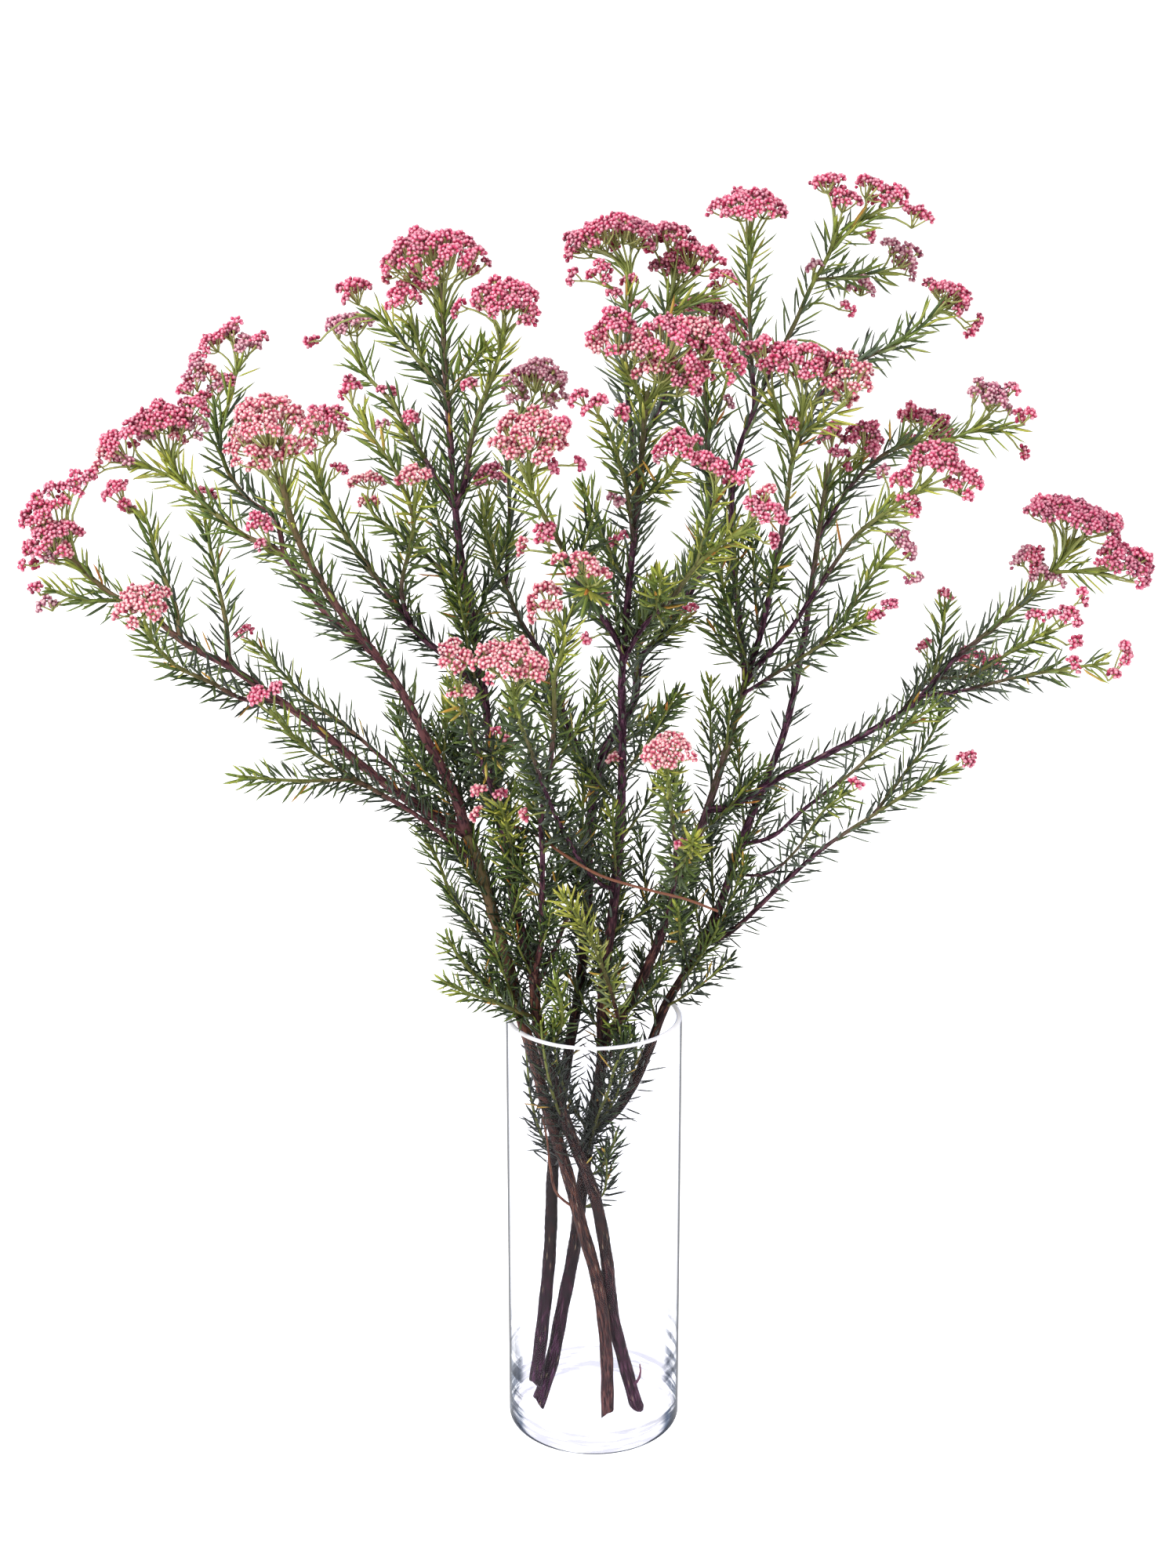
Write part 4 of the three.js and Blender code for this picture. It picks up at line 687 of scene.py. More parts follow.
# Bark. Young wood is smooth and thin-skinned, dull brown with a purple cast at the feet and high up, drawn
# out lengthwise in fine streaks, with pale dots where leaves fell off. The last stretch under the flowers is
# still green. Inside the glass the wood is painted darker, as painted shade. `grain` is how much of a length
# counts along the streaks, so that they are about six times as long as wide. Lengths are in millimetres.
bark = {"mainStep": 2.6, "twigStep": 4.2, "leastRings": 4, "mainSides": 12, "boughSides": 8, "twigSides": 6,
        "boughRadius": 1.6, "mainRadius": 2.4, "wave": 0.035, "waveLength": 23.0, "flare": 0.45,
        "flareReach": 2.2, "knot": 0.05, "knotPitch": 5.3, "knotTwist": 2.4, "turn": 6.28,
        "greenFrom": 95.0, "greenTo": 20.0, "boughGreen": 0.4, "cutSlant": 0.9, "cutStep": 0.2,
        "grain": 0.16, "streaksPerMm": 0.95, "scarsPerMm": 0.42, "scarSize": (0.16, 0.08), "scarShare": 0.6,
        "browns": ((0.41, "#170D0F"), (0.64, "#744A3A"), (0.51, "#3D2725")),
        "purples": ((0.36, "#1C0C18"), (0.6, "#80557E"), (0.46, "#431F3A")),
        "green": "#7C8444", "scar": "#A58E78",
        "tones": {"left": 0.09, "middle": 0.03, "right": 0.0, "rear": -0.02}, "deadTone": 0.2,
        "paintedShadeFrom": 262.0, "paintedShadeTo": 205.0, "paintedShade": -0.1,
        "lowPurple": {"left": 0.1, "middle": 0.5, "right": 0.9, "rear": 1.0}, "lowFrom": 120.0, "lowTo": 35.0,
        "highPurple": {"left": 0.2, "middle": 0.4, "right": 0.5, "rear": 0.6},
        "highFrom": 270.0, "highTo": 360.0,
        "roughness": 0.62, "shine": 0.15, "bump": 0.8, "relief": 0.0004,
        "bare": ("deadTwig", "bareTwig", "spur")}


def barkMaterial():
    material, tree = newMaterial("young brown bark")
    grain = addNode(tree, "Attribute", attribute_name="grain").outputs["Vector"]
    green, tone, purple = (addNode(tree, "Attribute", attribute_name=key).outputs["Fac"]
                           for key in ("green", "tone", "purple"))
    streaks = addNode(tree, "TexNoise", {"Vector": grain, "Scale": bark["streaksPerMm"], "Detail": 6.0,
                                         "Roughness": 0.68})
    toned = addNode(tree, "Math", {0: streaks, 1: tone}, operation="ADD")
    brown = addNode(tree, "ValToRGB", {"Fac": toned}, stops=bark["browns"])
    violet = addNode(tree, "ValToRGB", {"Fac": toned}, stops=bark["purples"])
    skin = addNode(tree, "Mix", {0: purple, 6: brown, 7: violet}, data_type="RGBA")
    scars = addNode(tree, "TexVoronoi", {"Vector": grain, "Scale": bark["scarsPerMm"]})
    scarMask = addNode(tree, "MapRange", {"Value": scars, "From Min": bark["scarSize"][0],
                                          "From Max": bark["scarSize"][1], "To Max": bark["scarShare"]})
    spotted = addNode(tree, "Mix", {0: scarMask, 6: skin, 7: linear(bark["scar"])}, data_type="RGBA")
    colour = addNode(tree, "Mix", {0: green, 6: spotted, 7: linear(bark["green"])}, data_type="RGBA")
    relief = addNode(tree, "Bump", {"Height": streaks, "Strength": bark["bump"], "Distance": bark["relief"]})
    shader = addNode(tree, "BsdfPrincipled", {"Base Color": colour, "Normal": relief, "IOR": 1.45,
                                              "Roughness": bark["roughness"],
                                              "Specular IOR Level": bark["shine"]})
    addNode(tree, "OutputMaterial", {"Surface": shader})
    return material


# One branch's wood: circles of radiusAt round its line, swelling by `knot` once each knotPitch as
# max(0, sin)^3, closed by a rounded point, or at a main stem's foot by a slanted cut that only ever rises
# from the cut's lowest point.
def woodOf(branch):
    step = bark["mainStep"] if branch["isMain"] else bark["twigStep"]
    thick = branch["radii"][0]
    sides = bark["twigSides"] if thick < bark["boughRadius"] else bark["boughSides"]
    sides = bark["mainSides"] if branch["isMain"] or thick > bark["mainRadius"] else sides
    rings = max(bark["leastRings"], int(branch["length"] / step))
    distance = np.linspace(0, branch["length"], rings)
    centre = placeAt(branch, distance)
    direction = directionAt(branch, distance)
    side = unit(np.cross([0.0, 1.0, 0.0], direction))
    other = np.cross(direction, side)
    turn = np.arange(sides) * 2 * np.pi / sides
    phase = distance[:, None] / bark["knotPitch"] * bark["turn"] + bark["knotTwist"] * np.sin(turn)
    knots = np.maximum(0, np.sin(phase)) ** 3
    radius = radiusAt(branch, distance)[:, None] * (1 + bark["knot"] * knots)
    points = centre[:, None] + radius[..., None] * (
        np.cos(turn)[None, :, None] * side[:, None] + np.sin(turn)[None, :, None] * other[:, None])
    if branch["isMain"]:
        slant = bark["cutSlant"] * radius[0, :, None] * (1 - np.cos(turn + branch["length"]))[:, None]
        points[0] = points[0] + slant * direction[0]
        points[1] = np.maximum(points[1], points[0] + bark["cutStep"] * direction[0] * up)
        start = points[0].mean(0)
    else:
        start = centre[0]
    end = centre[-1] + direction[-1] * branch["radii"][1]
    green = shareOf(branch["length"] - distance, bark["greenFrom"], bark["greenTo"])
    if thick > bark["mainRadius"]:
        green = green * bark["boughGreen"]
    around = np.stack([radius * np.cos(turn), radius * np.sin(turn),
                       np.broadcast_to(distance[:, None] * bark["grain"], radius.shape)], -1)
    offset = np.array([branch["length"], 0.0, 0.0])
    grain = np.concatenate([around.reshape(-1, 3), around[:1].mean(1), around[-1:].mean(1)]) + offset
    skin = np.concatenate([points.reshape(-1, 3), start[None], end[None]])
    isDead = branch["name"] in bark["bare"]
    # painted shade: the wood is coloured darker from just above the rim downwards, inside the glass
    paintedShade = shareOf(skin[:, 2], bark["paintedShadeFrom"], bark["paintedShadeTo"])
    tone = bark["paintedShade"] * paintedShade + (bark["deadTone"] if isDead else bark["tones"][branch["stem"]])
    low = shareOf(skin[:, 2], bark["lowFrom"], bark["lowTo"]) * bark["lowPurple"][branch["stem"]]
    high = shareOf(skin[:, 2], bark["highFrom"], bark["highTo"])
    high = high * bark["highPurple"][branch["stem"]] * (not isDead)
    return {"points": skin, "faces": tubeFaces(1, rings, sides), "grain": grain, "tone": tone,
            "purple": np.maximum(low, high), "green": overTubes(green[None] * (not isDead), sides)}


barkFinish = barkMaterial()
stemNames = list(mainStems)
for stem in stemNames:
    own = [woodOf(branch) for branch in branches.values() if branch["stem"] == stem]
    makePiece(f"bark_{stem}", joined(own), barkFinish, [f"stem_{stem}"])


# Leaves: narrow leathery needles in a close spiral, dark grey-green and short on the low old wood, longer and
# yellow-green on the young ends, with a dead yellow or orange one here and there. A shade runs from 0, the
# darkest green, to 1, dead orange, and `brighter` adds to it on single branches. On the sparse boughs a share
# of the old leaves has fallen. Lengths are in millimetres and angles in degrees.
leaf = {"pitch": (0.9, 1.15), "lowTop": (300.0, 560.0), "lowLength": (10.0, 15.0), "highLength": (13.5, 21.0),
        "lowWidth": (1.5, 2.05), "highWidth": (1.85, 2.45), "sides": 3, "thick": 0.55, "sunk": 0.8,
        "tipLength": 0.5, "grownAfter": 25.0, "youngReach": 80.0, "youngPower": 1.3, "highYouth": 0.6,
        "oldAngle": (46.0, 74.0), "youngAngle": (28.0, 52.0), "bow": (-0.26, 0.08), "first": 5.0,
        "mainStart": 1490.0, "placeDrift": 0.4, "turnDrift": 0.15, "dead": 0.02, "missing": 0.06,
        "lowShade": 0.16, "highShade": 0.38, "youngShade": 0.38, "drift": 0.13, "fillerShade": 0.1,
        "fillerYoung": 0.6, "paintedGlassShade": -0.24, "paintedGlassGrey": 0.1, "deadShade": (0.9, 1.0),
        "shadeLimits": (0.04, 0.84), "tipShade": 0.12, "mottlePerMetre": 420.0, "mottle": 0.07,
        "roughness": 0.42, "shine": 0.3,
        "grey": "#7A837A", "greys": {"left": 0.3, "middle": 0.25, "right": 0.6, "rear": 0.7},
        "shades": ((0.0, "#161C16"), (1.0, "#A8642C"), (0.25, "#29361F"), (0.45, "#485C29"),
                   (0.65, "#748634"), (0.84, "#B0B449"), (0.9, "#C0B65E"), (0.94, "#C79F46")),
        "brighter": {"brightFront": 0.58, "yellowTip": 0.34, "brightStem": 0.2, "brightOuter": 0.16,
                     "frontStalk": 0.22, "leafyCrown": 0.24, "topRight": 0.1, "leftTall": 0.14,
                     "centreRise": 0.18, "steepShoot": 0.1, "lowLeftA": 0.06, "upperLeft": 0.1,
                     "upperTwig": 0.14, "longLeft": 0.06, "tallLeft": 0.06, "forkRightOuter": 0.3,
                     "acrossRim": 0.12, "rimShoot": 0.16, "farRight": 0.08, "paleStem": 0.1},
        "sparse": {"outerRise": 0.5, "lowerRise": 0.45, "forkLeft": 0.4, "forkRight": 0.3, "lowOuter": 0.25,
                   "lowerLeafy": 0.2, "outerTwig": 0.25, "brightOuter": 0.2, "right": 0.15,
                   "lowerSparse": 0.35}}
leafShares = np.array([0.24, 0.74])  # where along a leaf its rings are
leafWidths = np.array([0.98, 0.86])  # the width of each against the leaf's widest


def leafMaterial():
    material, tree = newMaterial("leathery needle leaf")
    place = addNode(tree, "TexCoord").outputs["Object"]
    shade, grey = (addNode(tree, "Attribute", attribute_name=key).outputs["Fac"] for key in ("shade", "grey"))
    mottle = addNode(tree, "TexNoise", {"Vector": place, "Scale": leaf["mottlePerMetre"], "Detail": 2.0})
    drift = addNode(tree, "MapRange", {"Value": mottle, "To Min": -leaf["mottle"], "To Max": leaf["mottle"]})
    total = addNode(tree, "Math", {0: shade, 1: drift}, operation="ADD")
    green = addNode(tree, "ValToRGB", {"Fac": total}, stops=leaf["shades"])
    colour = addNode(tree, "Mix", {0: grey, 6: green, 7: linear(leaf["grey"])}, data_type="RGBA")
    shader = addNode(tree, "BsdfPrincipled", {"Base Color": colour, "Roughness": leaf["roughness"],
                                              "IOR": 1.45, "Specular IOR Level": leaf["shine"]})
    addNode(tree, "OutputMaterial", {"Surface": shader})
    return material


# All leaves of one branch. A leaf starts at the wood's side and follows root + length (t forward + bow t^2
# across), t from 0 to 1, where forward leans out from the wood by its angle and across is square to it.
def leavesOf(branch):
    begin = leaf["first"]
    if branch["isMain"]:
        begin = distanceSeenAt(branch, (mainStems[branch["name"]]["seen"][5][0], leaf["mainStart"]))
    halfway = placeAt(branch, branch["length"] / 2)[2]
    distance = np.arange(begin, branch["length"] - 1, np.interp(halfway, leaf["lowTop"], leaf["pitch"]))
    count = len(distance)
    distance = distance + rng.uniform(-leaf["placeDrift"], leaf["placeDrift"], count)
    turn = np.arange(count) * goldenAngle + rng.uniform(-leaf["turnDrift"], leaf["turnDrift"], count)
    turn = turn + branch["length"]
    direction = directionAt(branch, distance)
    outward = aroundAxis(turn, *square(direction))
    fromTip = branch["length"] - distance
    young = np.clip(1 - fromTip / leaf["youngReach"], 0, 1)
    base = placeAt(branch, distance)
    high = shareOf(base[:, 2], *leaf["lowTop"])
    draw = rng.random(count)
    angles = [between(leaf[key], draw) for key in ("oldAngle", "youngAngle")]
    angle = np.radians(between(angles, np.maximum(young, leaf["highYouth"] * high)))[:, None]
    forward = np.cos(angle) * direction + np.sin(angle) * outward
    draw = rng.random(count)
    length = between([between(leaf[key], draw) for key in ("lowLength", "highLength")], high)
    length = length * np.clip(leaf["tipLength"] + fromTip / leaf["grownAfter"], leaf["tipLength"], 1)
    draw = rng.random(count)
    width = between([between(leaf[key], draw) for key in ("lowWidth", "highWidth")], high) / 2
    bow = rng.uniform(*leaf["bow"], count)
    flat = unit(np.cross(forward, outward))
    across = np.cross(flat, forward)
    root = base + outward * (radiusAt(branch, distance) * leaf["sunk"])[:, None]
    shares = np.concatenate([[0.0], leafShares, [1.0]])[None, :, None]
    middle = root[:, None] + length[:, None, None] * (
        shares * forward[:, None] + bow[:, None, None] * shares**2 * across[:, None])
    missing = leaf["missing"] + leaf["sparse"].get(branch["name"], 0) * (1 - young)
    keep = clearOfGlass(middle).all(1) & clearOfHeads(middle, headForm["leafRoom"]).all(1)
    keep = keep & (rng.random(count) > missing)
    if branch["name"] in bark["bare"] or not keep.any():
        return None
    middle, flat, across, width = middle[keep], flat[keep], across[keep], width[keep]
    young, high, count = young[keep], high[keep], keep.sum()
    points, faces = smallTubes(middle[:, 1:-1], flat, across, width[:, None] * leafWidths, leaf["sides"],
                               leaf["thick"], (middle[:, 0], middle[:, -1]))
    isFiller = branch["name"].startswith("filler")
    own = rng.normal(0, leaf["fillerShade"]) if isFiller else 0
    fresh = leaf["youngShade"] * (leaf["fillerYoung"] if isFiller else 1) * young**leaf["youngPower"]
    shade = between((leaf["lowShade"], leaf["highShade"]), high) + fresh
    shade = shade + leaf["brighter"].get(branch["name"], own) + rng.normal(0, leaf["drift"], count)
    # painted shade: leaves whose tips lie inside the glass are coloured darker, and take less of the pale
    # grey
    inGlass = middle[:, -1, 2] < filler["glassTop"]
    shade = shade + leaf["paintedGlassShade"] * inGlass
    isDead = rng.random(count) < leaf["dead"]
    shade = np.where(isDead, rng.uniform(*leaf["deadShade"], count), np.clip(shade, *leaf["shadeLimits"]))
    along = shade[:, None] + np.where(isDead, 0, leaf["tipShade"])[:, None] * (leafShares - 0.5)
    grey = leaf["greys"][branch["stem"]] * rng.random(count) * (1 - young) * ~isDead
    grey = grey * np.where(inGlass, leaf["paintedGlassGrey"], 1.0)
    return {"points": points, "faces": faces, "shade": overTubes(along, leaf["sides"]),
            "grey": overTubes(np.repeat(grey[:, None], len(leafShares), axis=1), leaf["sides"])}


leafFinish = leafMaterial()
for stem in stemNames:
    found = [leavesOf(branch) for branch in branches.values() if branch["stem"] == stem]
    makePiece(f"leaves_{stem}", joined([part for part in found if part]), leafFinish,
              [f"stem_{stem}"])


# Flower clusters: a dome carries them in a spiral that fills its top evenly, and each is a tuft of small
# round buds that point outwards from the tuft's middle. Lengths are in millimetres. Rim, top, waves and drop
# are shares of the dome's thickness, and a tint runs from 0, deep, to 1, pale.
cluster = {"spacing": 3.4, "crowd": 1.1, "fewest": 2, "radius": 2.7, "leastReach": 0.5, "inset": 2.2,
           "lobes": 0.1, "lobeCount": 3, "rim": -0.1, "top": 0.66, "waves": 0.16, "waveCount": 4,
           "drop": 0.42, "dropPower": 3, "sunk": 1.6, "drift": 1.1, "spread": 0.92, "turnDrift": 0.12,
           "buds": (9, 13), "tint": 0.42, "tintDrift": 0.16, "rimTint": 0.12}
bud = {"width": (1.05, 1.4), "length": (2.4, 3.1), "sides": 5, "opening": 0.95, "turnDrift": 0.1,
       "foot": (0.35, 0.75), "tintDrift": 0.16, "tipFrom": 0.5, "tipShare": 0.85, "roughness": 0.42,
       "sheen": 0.1}
budShares = np.array([0.16, 0.5, 0.82])  # where along a bud its rings are
budWidths = np.array([0.62, 1.0, 0.66])  # the width of each against the bud's widest


# Places and directions of a dome's clusters. With q = sqrt((i + 1/2) / n) they lie q x radius from the axis,
# lobed as the solid's outline, at the height rim + (top - rim) sqrt(1 - q^2) of the thickness, plus waves
# round the rim, with a few clusters dropped below their neighbours.
def clustersOf(dome):
    count = max(cluster["fewest"], round(cluster["crowd"] * (dome["radius"] / cluster["spacing"]) ** 2))
    i = np.arange(count)
    q = np.sqrt((i + 0.5) / count)
    turn = i * goldenAngle + dome["centre"][0]
    outward = aroundAxis(turn, *square(dome["axis"]))
    lobed = 1 + cluster["lobes"] * np.sin(cluster["lobeCount"] * turn + dome["centre"][0])
    wide = max(cluster["leastReach"], dome["radius"] - cluster["inset"]) * q * lobed
    high = between((cluster["rim"], cluster["top"]), np.sqrt(1 - q**2))
    high = high + cluster["waves"] * q * np.sin(cluster["waveCount"] * turn + dome["centre"][2])
    high = dome["thickness"] * (high - cluster["drop"] * q * rng.random(count) ** cluster["dropPower"])
    place = dome["centre"] + wide[:, None] * outward + (high - cluster["sunk"])[:, None] * dome["axis"]
    place = place + rng.normal(0, cluster["drift"], (count, 3))
    leaning = dome["axis"] + outward * (q**2 * cluster["spread"])[:, None]
    return place, unit(leaning + rng.normal(0, cluster["turnDrift"], (count, 3))), q


# Buds of many clusters at once: bud j of m leaves its cluster's middle at the angle whose cosine is
# 1 - opening (j + 1/2) / m from the cluster's heading, each a golden angle round from the last.
def budsOf(place, heading, tints):
    count = rng.integers(*cluster["buds"], len(place), endpoint=True)
    owner = np.repeat(np.arange(len(place)), count)
    j = np.concatenate([np.arange(n) for n in count])
    lift = 1 - bud["opening"] * (j + 0.5) / count[owner]
    turn = j * goldenAngle + owner
    side, other = square(heading[owner])
    flatPart = np.sqrt(1 - lift**2)[:, None]
    outward = (lift[:, None] * heading[owner] + flatPart * np.cos(turn)[:, None] * side
               + flatPart * np.sin(turn)[:, None] * other)
    outward = unit(outward + rng.normal(0, bud["turnDrift"], outward.shape))
    length = rng.uniform(*bud["length"], len(owner))
    width = rng.uniform(*bud["width"], len(owner))
    base = place[owner] + outward * (cluster["radius"] * rng.uniform(*bud["foot"], len(owner)))[:, None]
    centres = base[:, None] + length[:, None, None] * budShares[None, :, None] * outward[:, None]
    ends = (base, base + length[:, None] * outward)
    points, faces = smallTubes(centres, *square(outward), width[:, None] * budWidths, bud["sides"], 1.0, ends)
    tint = np.clip(tints[owner] + rng.normal(0, bud["tintDrift"], len(owner)), 0, 1)
    tip = overTubes(np.broadcast_to(budShares, (len(owner), len(budShares))), bud["sides"])
    tip = tip.reshape(len(owner), -1)
    tip[:, -2:] = (0, 1)
    return {"points": points, "faces": faces, "budTip": tip.ravel(),
            "budTint": np.repeat(tint, tip.shape[1])}


# Papery flower buds: dry overlapping scales with a satin face, deep pink at the foot, pale at the tip. The
# pale tip is partly their own colour and partly a painted highlight, and the deep foot partly painted shade.
budFinishes = {
    "pink": {"deep": "#82103C", "middle": "#C22C5C", "pale": "#DC6088", "tip": "#F6B2C2"},
    "light": {"deep": "#9A2446", "middle": "#C84C6A", "pale": "#DE8498", "tip": "#FAD6D2"},
    "dark": {"deep": "#6E123A", "middle": "#B02C58", "pale": "#D05680", "tip": "#ECA0B4"},
    "dull": {"deep": "#863654", "middle": "#BA6080", "pale": "#D490A4", "tip": "#EEC8CC"},
}


def budMaterial(tint):
    finish = budFinishes[tint]
    material, tree = newMaterial(f"papery bud scales {tint}")
    tipShare, tintValue = (addNode(tree, "Attribute", attribute_name=key).outputs["Fac"]
                           for key in ("budTip", "budTint"))
    body = addNode(tree, "ValToRGB", {"Fac": tintValue},
                   stops=((0.0, finish["deep"]), (1.0, finish["pale"]), (0.45, finish["middle"])))
    # partly painted highlight: each bud's outer part blends towards the pale tip colour
    paleTipAndHighlight = addNode(tree, "MapRange", {"Value": tipShare, "From Min": bud["tipFrom"],
                                      "To Max": bud["tipShare"]}, interpolation_type="SMOOTHSTEP")
    colour = addNode(tree, "Mix", {0: paleTipAndHighlight, 6: body, 7: linear(finish["tip"])}, data_type="RGBA")
    shader = addNode(tree, "BsdfPrincipled", {"Base Color": colour, "Roughness": bud["roughness"], "IOR": 1.4,
                                              "Sheen Weight": bud["sheen"]})
    addNode(tree, "OutputMaterial", {"Surface": shader})
    return material


# Flower stalks: thin, smooth, pale yellow-green, each curved up into its cluster. Lengths are in millimetres.
# A dome's limbs leave its branch between `back` below the tip, and their forks lie `depth` of the thickness,
# more towards the rim, and `below` under the dome's middle.
stalk = {"radius": 0.53, "groupRadius": 0.8, "flare": 1.5, "perGroup": 6, "sink": 0.55, "back": (5.0, 26.0),
         "fullRadius": 20.0, "under": 0.6, "depth": 0.15, "rimDepth": 0.35, "below": 2.0, "bendAlong": 0.35,
         "bendAcross": 0.3, "endBend": 0.5, "intoTuft": 0.6, "limbTone": (0, 0.5), "stalkTone": (0.4, 1.0),
         "sides": 3, "low": "#808E46", "high": "#B8B474", "roughness": 0.5}
stalkShares = np.array([0.0, 0.3, 0.6, 0.86, 1.0])  # where along a stalk its rings are
limbWidths = np.array([1.2, 1, 0.9, 0.85, 0.9])  # the radius at each against groupRadius
stalkWidths = np.array([1.1, 1, 1, 1.1, stalk["flare"] / stalk["radius"]])  # and against radius


def stalkMaterial():
    material, tree = newMaterial("green flower stalk")
    height = addNode(tree, "Attribute", attribute_name="stalkHeight").outputs["Fac"]
    colour = addNode(tree, "ValToRGB", {"Fac": height}, stops=((0.0, stalk["low"]), (1.0, stalk["high"])))
    shader = addNode(tree, "BsdfPrincipled", {"Base Color": colour, "IOR": 1.45,
                                              "Roughness": stalk["roughness"]})
    addNode(tree, "OutputMaterial", {"Surface": shader})
    return material


# Curved stalks: quadratic curves (1-t)^2 start + 2t(1-t) bend + t^2 end, with a radius for each share. The
# pair of tones says how pale the foot and the end are.
def stalksBetween(start, bend, end, radii, tones):
    t = stalkShares[None, :, None]
    centres = (1 - t) ** 2 * start[:, None] + 2 * t * (1 - t) * bend[:, None] + t**2 * end[:, None]
    radius = np.broadcast_to(radii, (len(start), len(stalkShares)))
    points, faces = smallTubes(centres, *square(unit(end - start)), radius, stalk["sides"])
    tone = np.broadcast_to(between(tones, stalkShares), radius.shape)
    return {"points": points, "faces": faces, "stalkHeight": overTubes(tone, stalk["sides"])}


# The stalks of one dome: a few limbs leave the branch below its tip, and each forks into the stalks of the
# clusters nearest to it. With q = sqrt((i + 1/2) / n), limb i of n forks at sink x radius x q from the axis.
def stalksOf(dome, place, heading):
    branch = dome["branch"]
    under = dome["centre"] - dome["axis"] * dome["thickness"] * stalk["under"]
    nearest = branch["reach"][np.argmin(np.linalg.norm(branch["line"] - under, axis=1))]
    groups = max(1, round(len(place) / stalk["perGroup"]))
    i = np.arange(groups)
    q = np.sqrt((i + 0.5) / groups)
    wide = dome["radius"] * stalk["sink"] * q[:, None] * (groups > 1)
    deep = dome["thickness"] * (stalk["depth"] + stalk["rimDepth"] * q[:, None]) + stalk["below"]
    outward = aroundAxis(i * goldenAngle, *square(dome["axis"]))
    fork = dome["centre"] + wide * outward - deep * dome["axis"]
    least, most = stalk["back"]
    back = least + (most - least) * q * min(1, dome["radius"] / stalk["fullRadius"])
    distance = np.clip(nearest - back, 0, branch["length"])
    start = placeAt(branch, distance)
    reach = np.linalg.norm(fork - start, axis=1)[:, None]
    bend = start + directionAt(branch, distance) * reach * stalk["bendAlong"]
    bend = bend + (fork - start) * stalk["bendAcross"]
    limbs = stalksBetween(start, bend, fork, stalk["groupRadius"] * limbWidths, stalk["limbTone"])
    home = fork[np.argmin(np.linalg.norm(place[:, None] - fork[None], axis=-1), axis=1)]
    end = place + heading * stalk["intoTuft"]
    bend = end - heading * np.linalg.norm(end - home, axis=1)[:, None] * stalk["endBend"]
    return [limbs, stalksBetween(home, bend, end, stalk["radius"] * stalkWidths, stalk["stalkTone"])]


stalkFinish = stalkMaterial()
budMaterials = {tint: budMaterial(tint) for tint in budFinishes}
stalkParts = {stem: [] for stem in stemNames}
budGroups = {}
mostTriangles = 186000  # in one piece of buds, so that it stays well under 200,000


# One dome's stalks, kept for its stem, and its buds, a little deeper in tint towards the rim.
def growDome(dome, stem):
    place, heading, q = clustersOf(dome)
    stalkParts[stem].extend(stalksOf(dome, place, heading))
    tints = cluster["tint"] + rng.normal(0, cluster["tintDrift"], len(place)) - cluster["rimTint"] * q
    return budsOf(place, heading, np.clip(tints, 0, 1))


for head in headList:
    for dome in head["domes"]:
        part = growDome(dome, head["stem"])
        budGroups.setdefault((head["stem"], head["tint"]), []).append((head["node"], part))
for dome in smallDomes:
    stem = dome["branch"]["stem"]
    budGroups.setdefault((stem, "small_" + dome["tint"]), []).append((f"stem_{stem}", growDome(dome, stem)))

for (stem, tint), entries in budGroups.items():
    batches, total = [[]], 0
    for entry in entries:
        total += len(entry[1]["faces"])
        if total > mostTriangles:
            batches.append([])
            total = len(entry[1]["faces"])
        batches[-1].append(entry)
    finish = tint.replace("small_", "")
    for i, batch in enumerate(batches, 1):
        makePiece(f"buds_{stem}_{tint}_{i}", joined([part for _, part in batch]), budMaterials[finish],
                  sorted({node for node, _ in batch}))
for stem in stemNames:
    makePiece(f"stalks_{stem}", joined(stalkParts[stem]), stalkFinish, [f"stem_{stem}"])


# The vase: machine-made clear soda-lime glass, fire-polished at the rim, with a thick base whose inner face
# dips to the middle. The walls pass light straight through. What they would show of the surroundings is
# painted: a painted blue-grey reflection line where the eye looks along the glass, a painted white highlight
# and blue reflection on the fire-polished lip, and painted grey reflection streaks where the thick base
# gathers the surroundings. The solid's lengths are in millimetres and the heights of the finish in metres.
# `facing` values run from 0, seen square on, to 1, seen edge on.
vase = {"radius": 50.0, "height": 256.0, "wall": 3.5, "floor": 12.0, "floorRise": 3.5, "heel": 5.0,
        "insideHeel": 5.0, "pushUp": 0.6, "segments": 128, "innermost": 0.15, "footSteps": 6, "wallSteps": 9,
        "floorSteps": 8, "arcSteps": 10, "lipSteps": 14,
        "clear": "#FDFDFF", "edge": "#3E4A60", "edgeFacing": (0.745, 0.87), "innerEdge": 0.04,
        "streak": "#465368", "streakHeights": (0.078, 0.035), "streakTilt": (0.5, 0.0, 0.0),
        "streaksPerMetre": (16.0, 16.0, 120.0), "streakNoise": (0.46, 0.56), "streakShare": 0.95,
        "sideFacing": (0.46, 0.6), "baseReflection": "#BFBFC7", "baseHeights": (0.0205, 0.016),
        "baseReflectionPerMetre": (45.0, 45.0, 420.0), "baseReflectionNoise": (0.38, 0.56),
        "leastGloss": 0.006, "mostGloss": 0.4, "glossPower": 5.0,
        "lip": "#F8F5FB", "lipReflection": "#97ABDD", "lipFacing": (0.62, 0.86), "lipHeights": (0.2546, 0.2548),
        "lipShare": 0.88, "lipRoughness": 0.12}


# Points of an arc from one angle to another, in degrees, without its first point: middle + radius (cos, sin).
def arc(middle, radius, fromAngle, toAngle, steps=vase["arcSteps"]):
    angle = np.radians(np.linspace(fromAngle, toAngle, steps + 1))[1:]
    return np.stack([middle[0] + radius * np.cos(angle), middle[1] + radius * np.sin(angle)], -1)


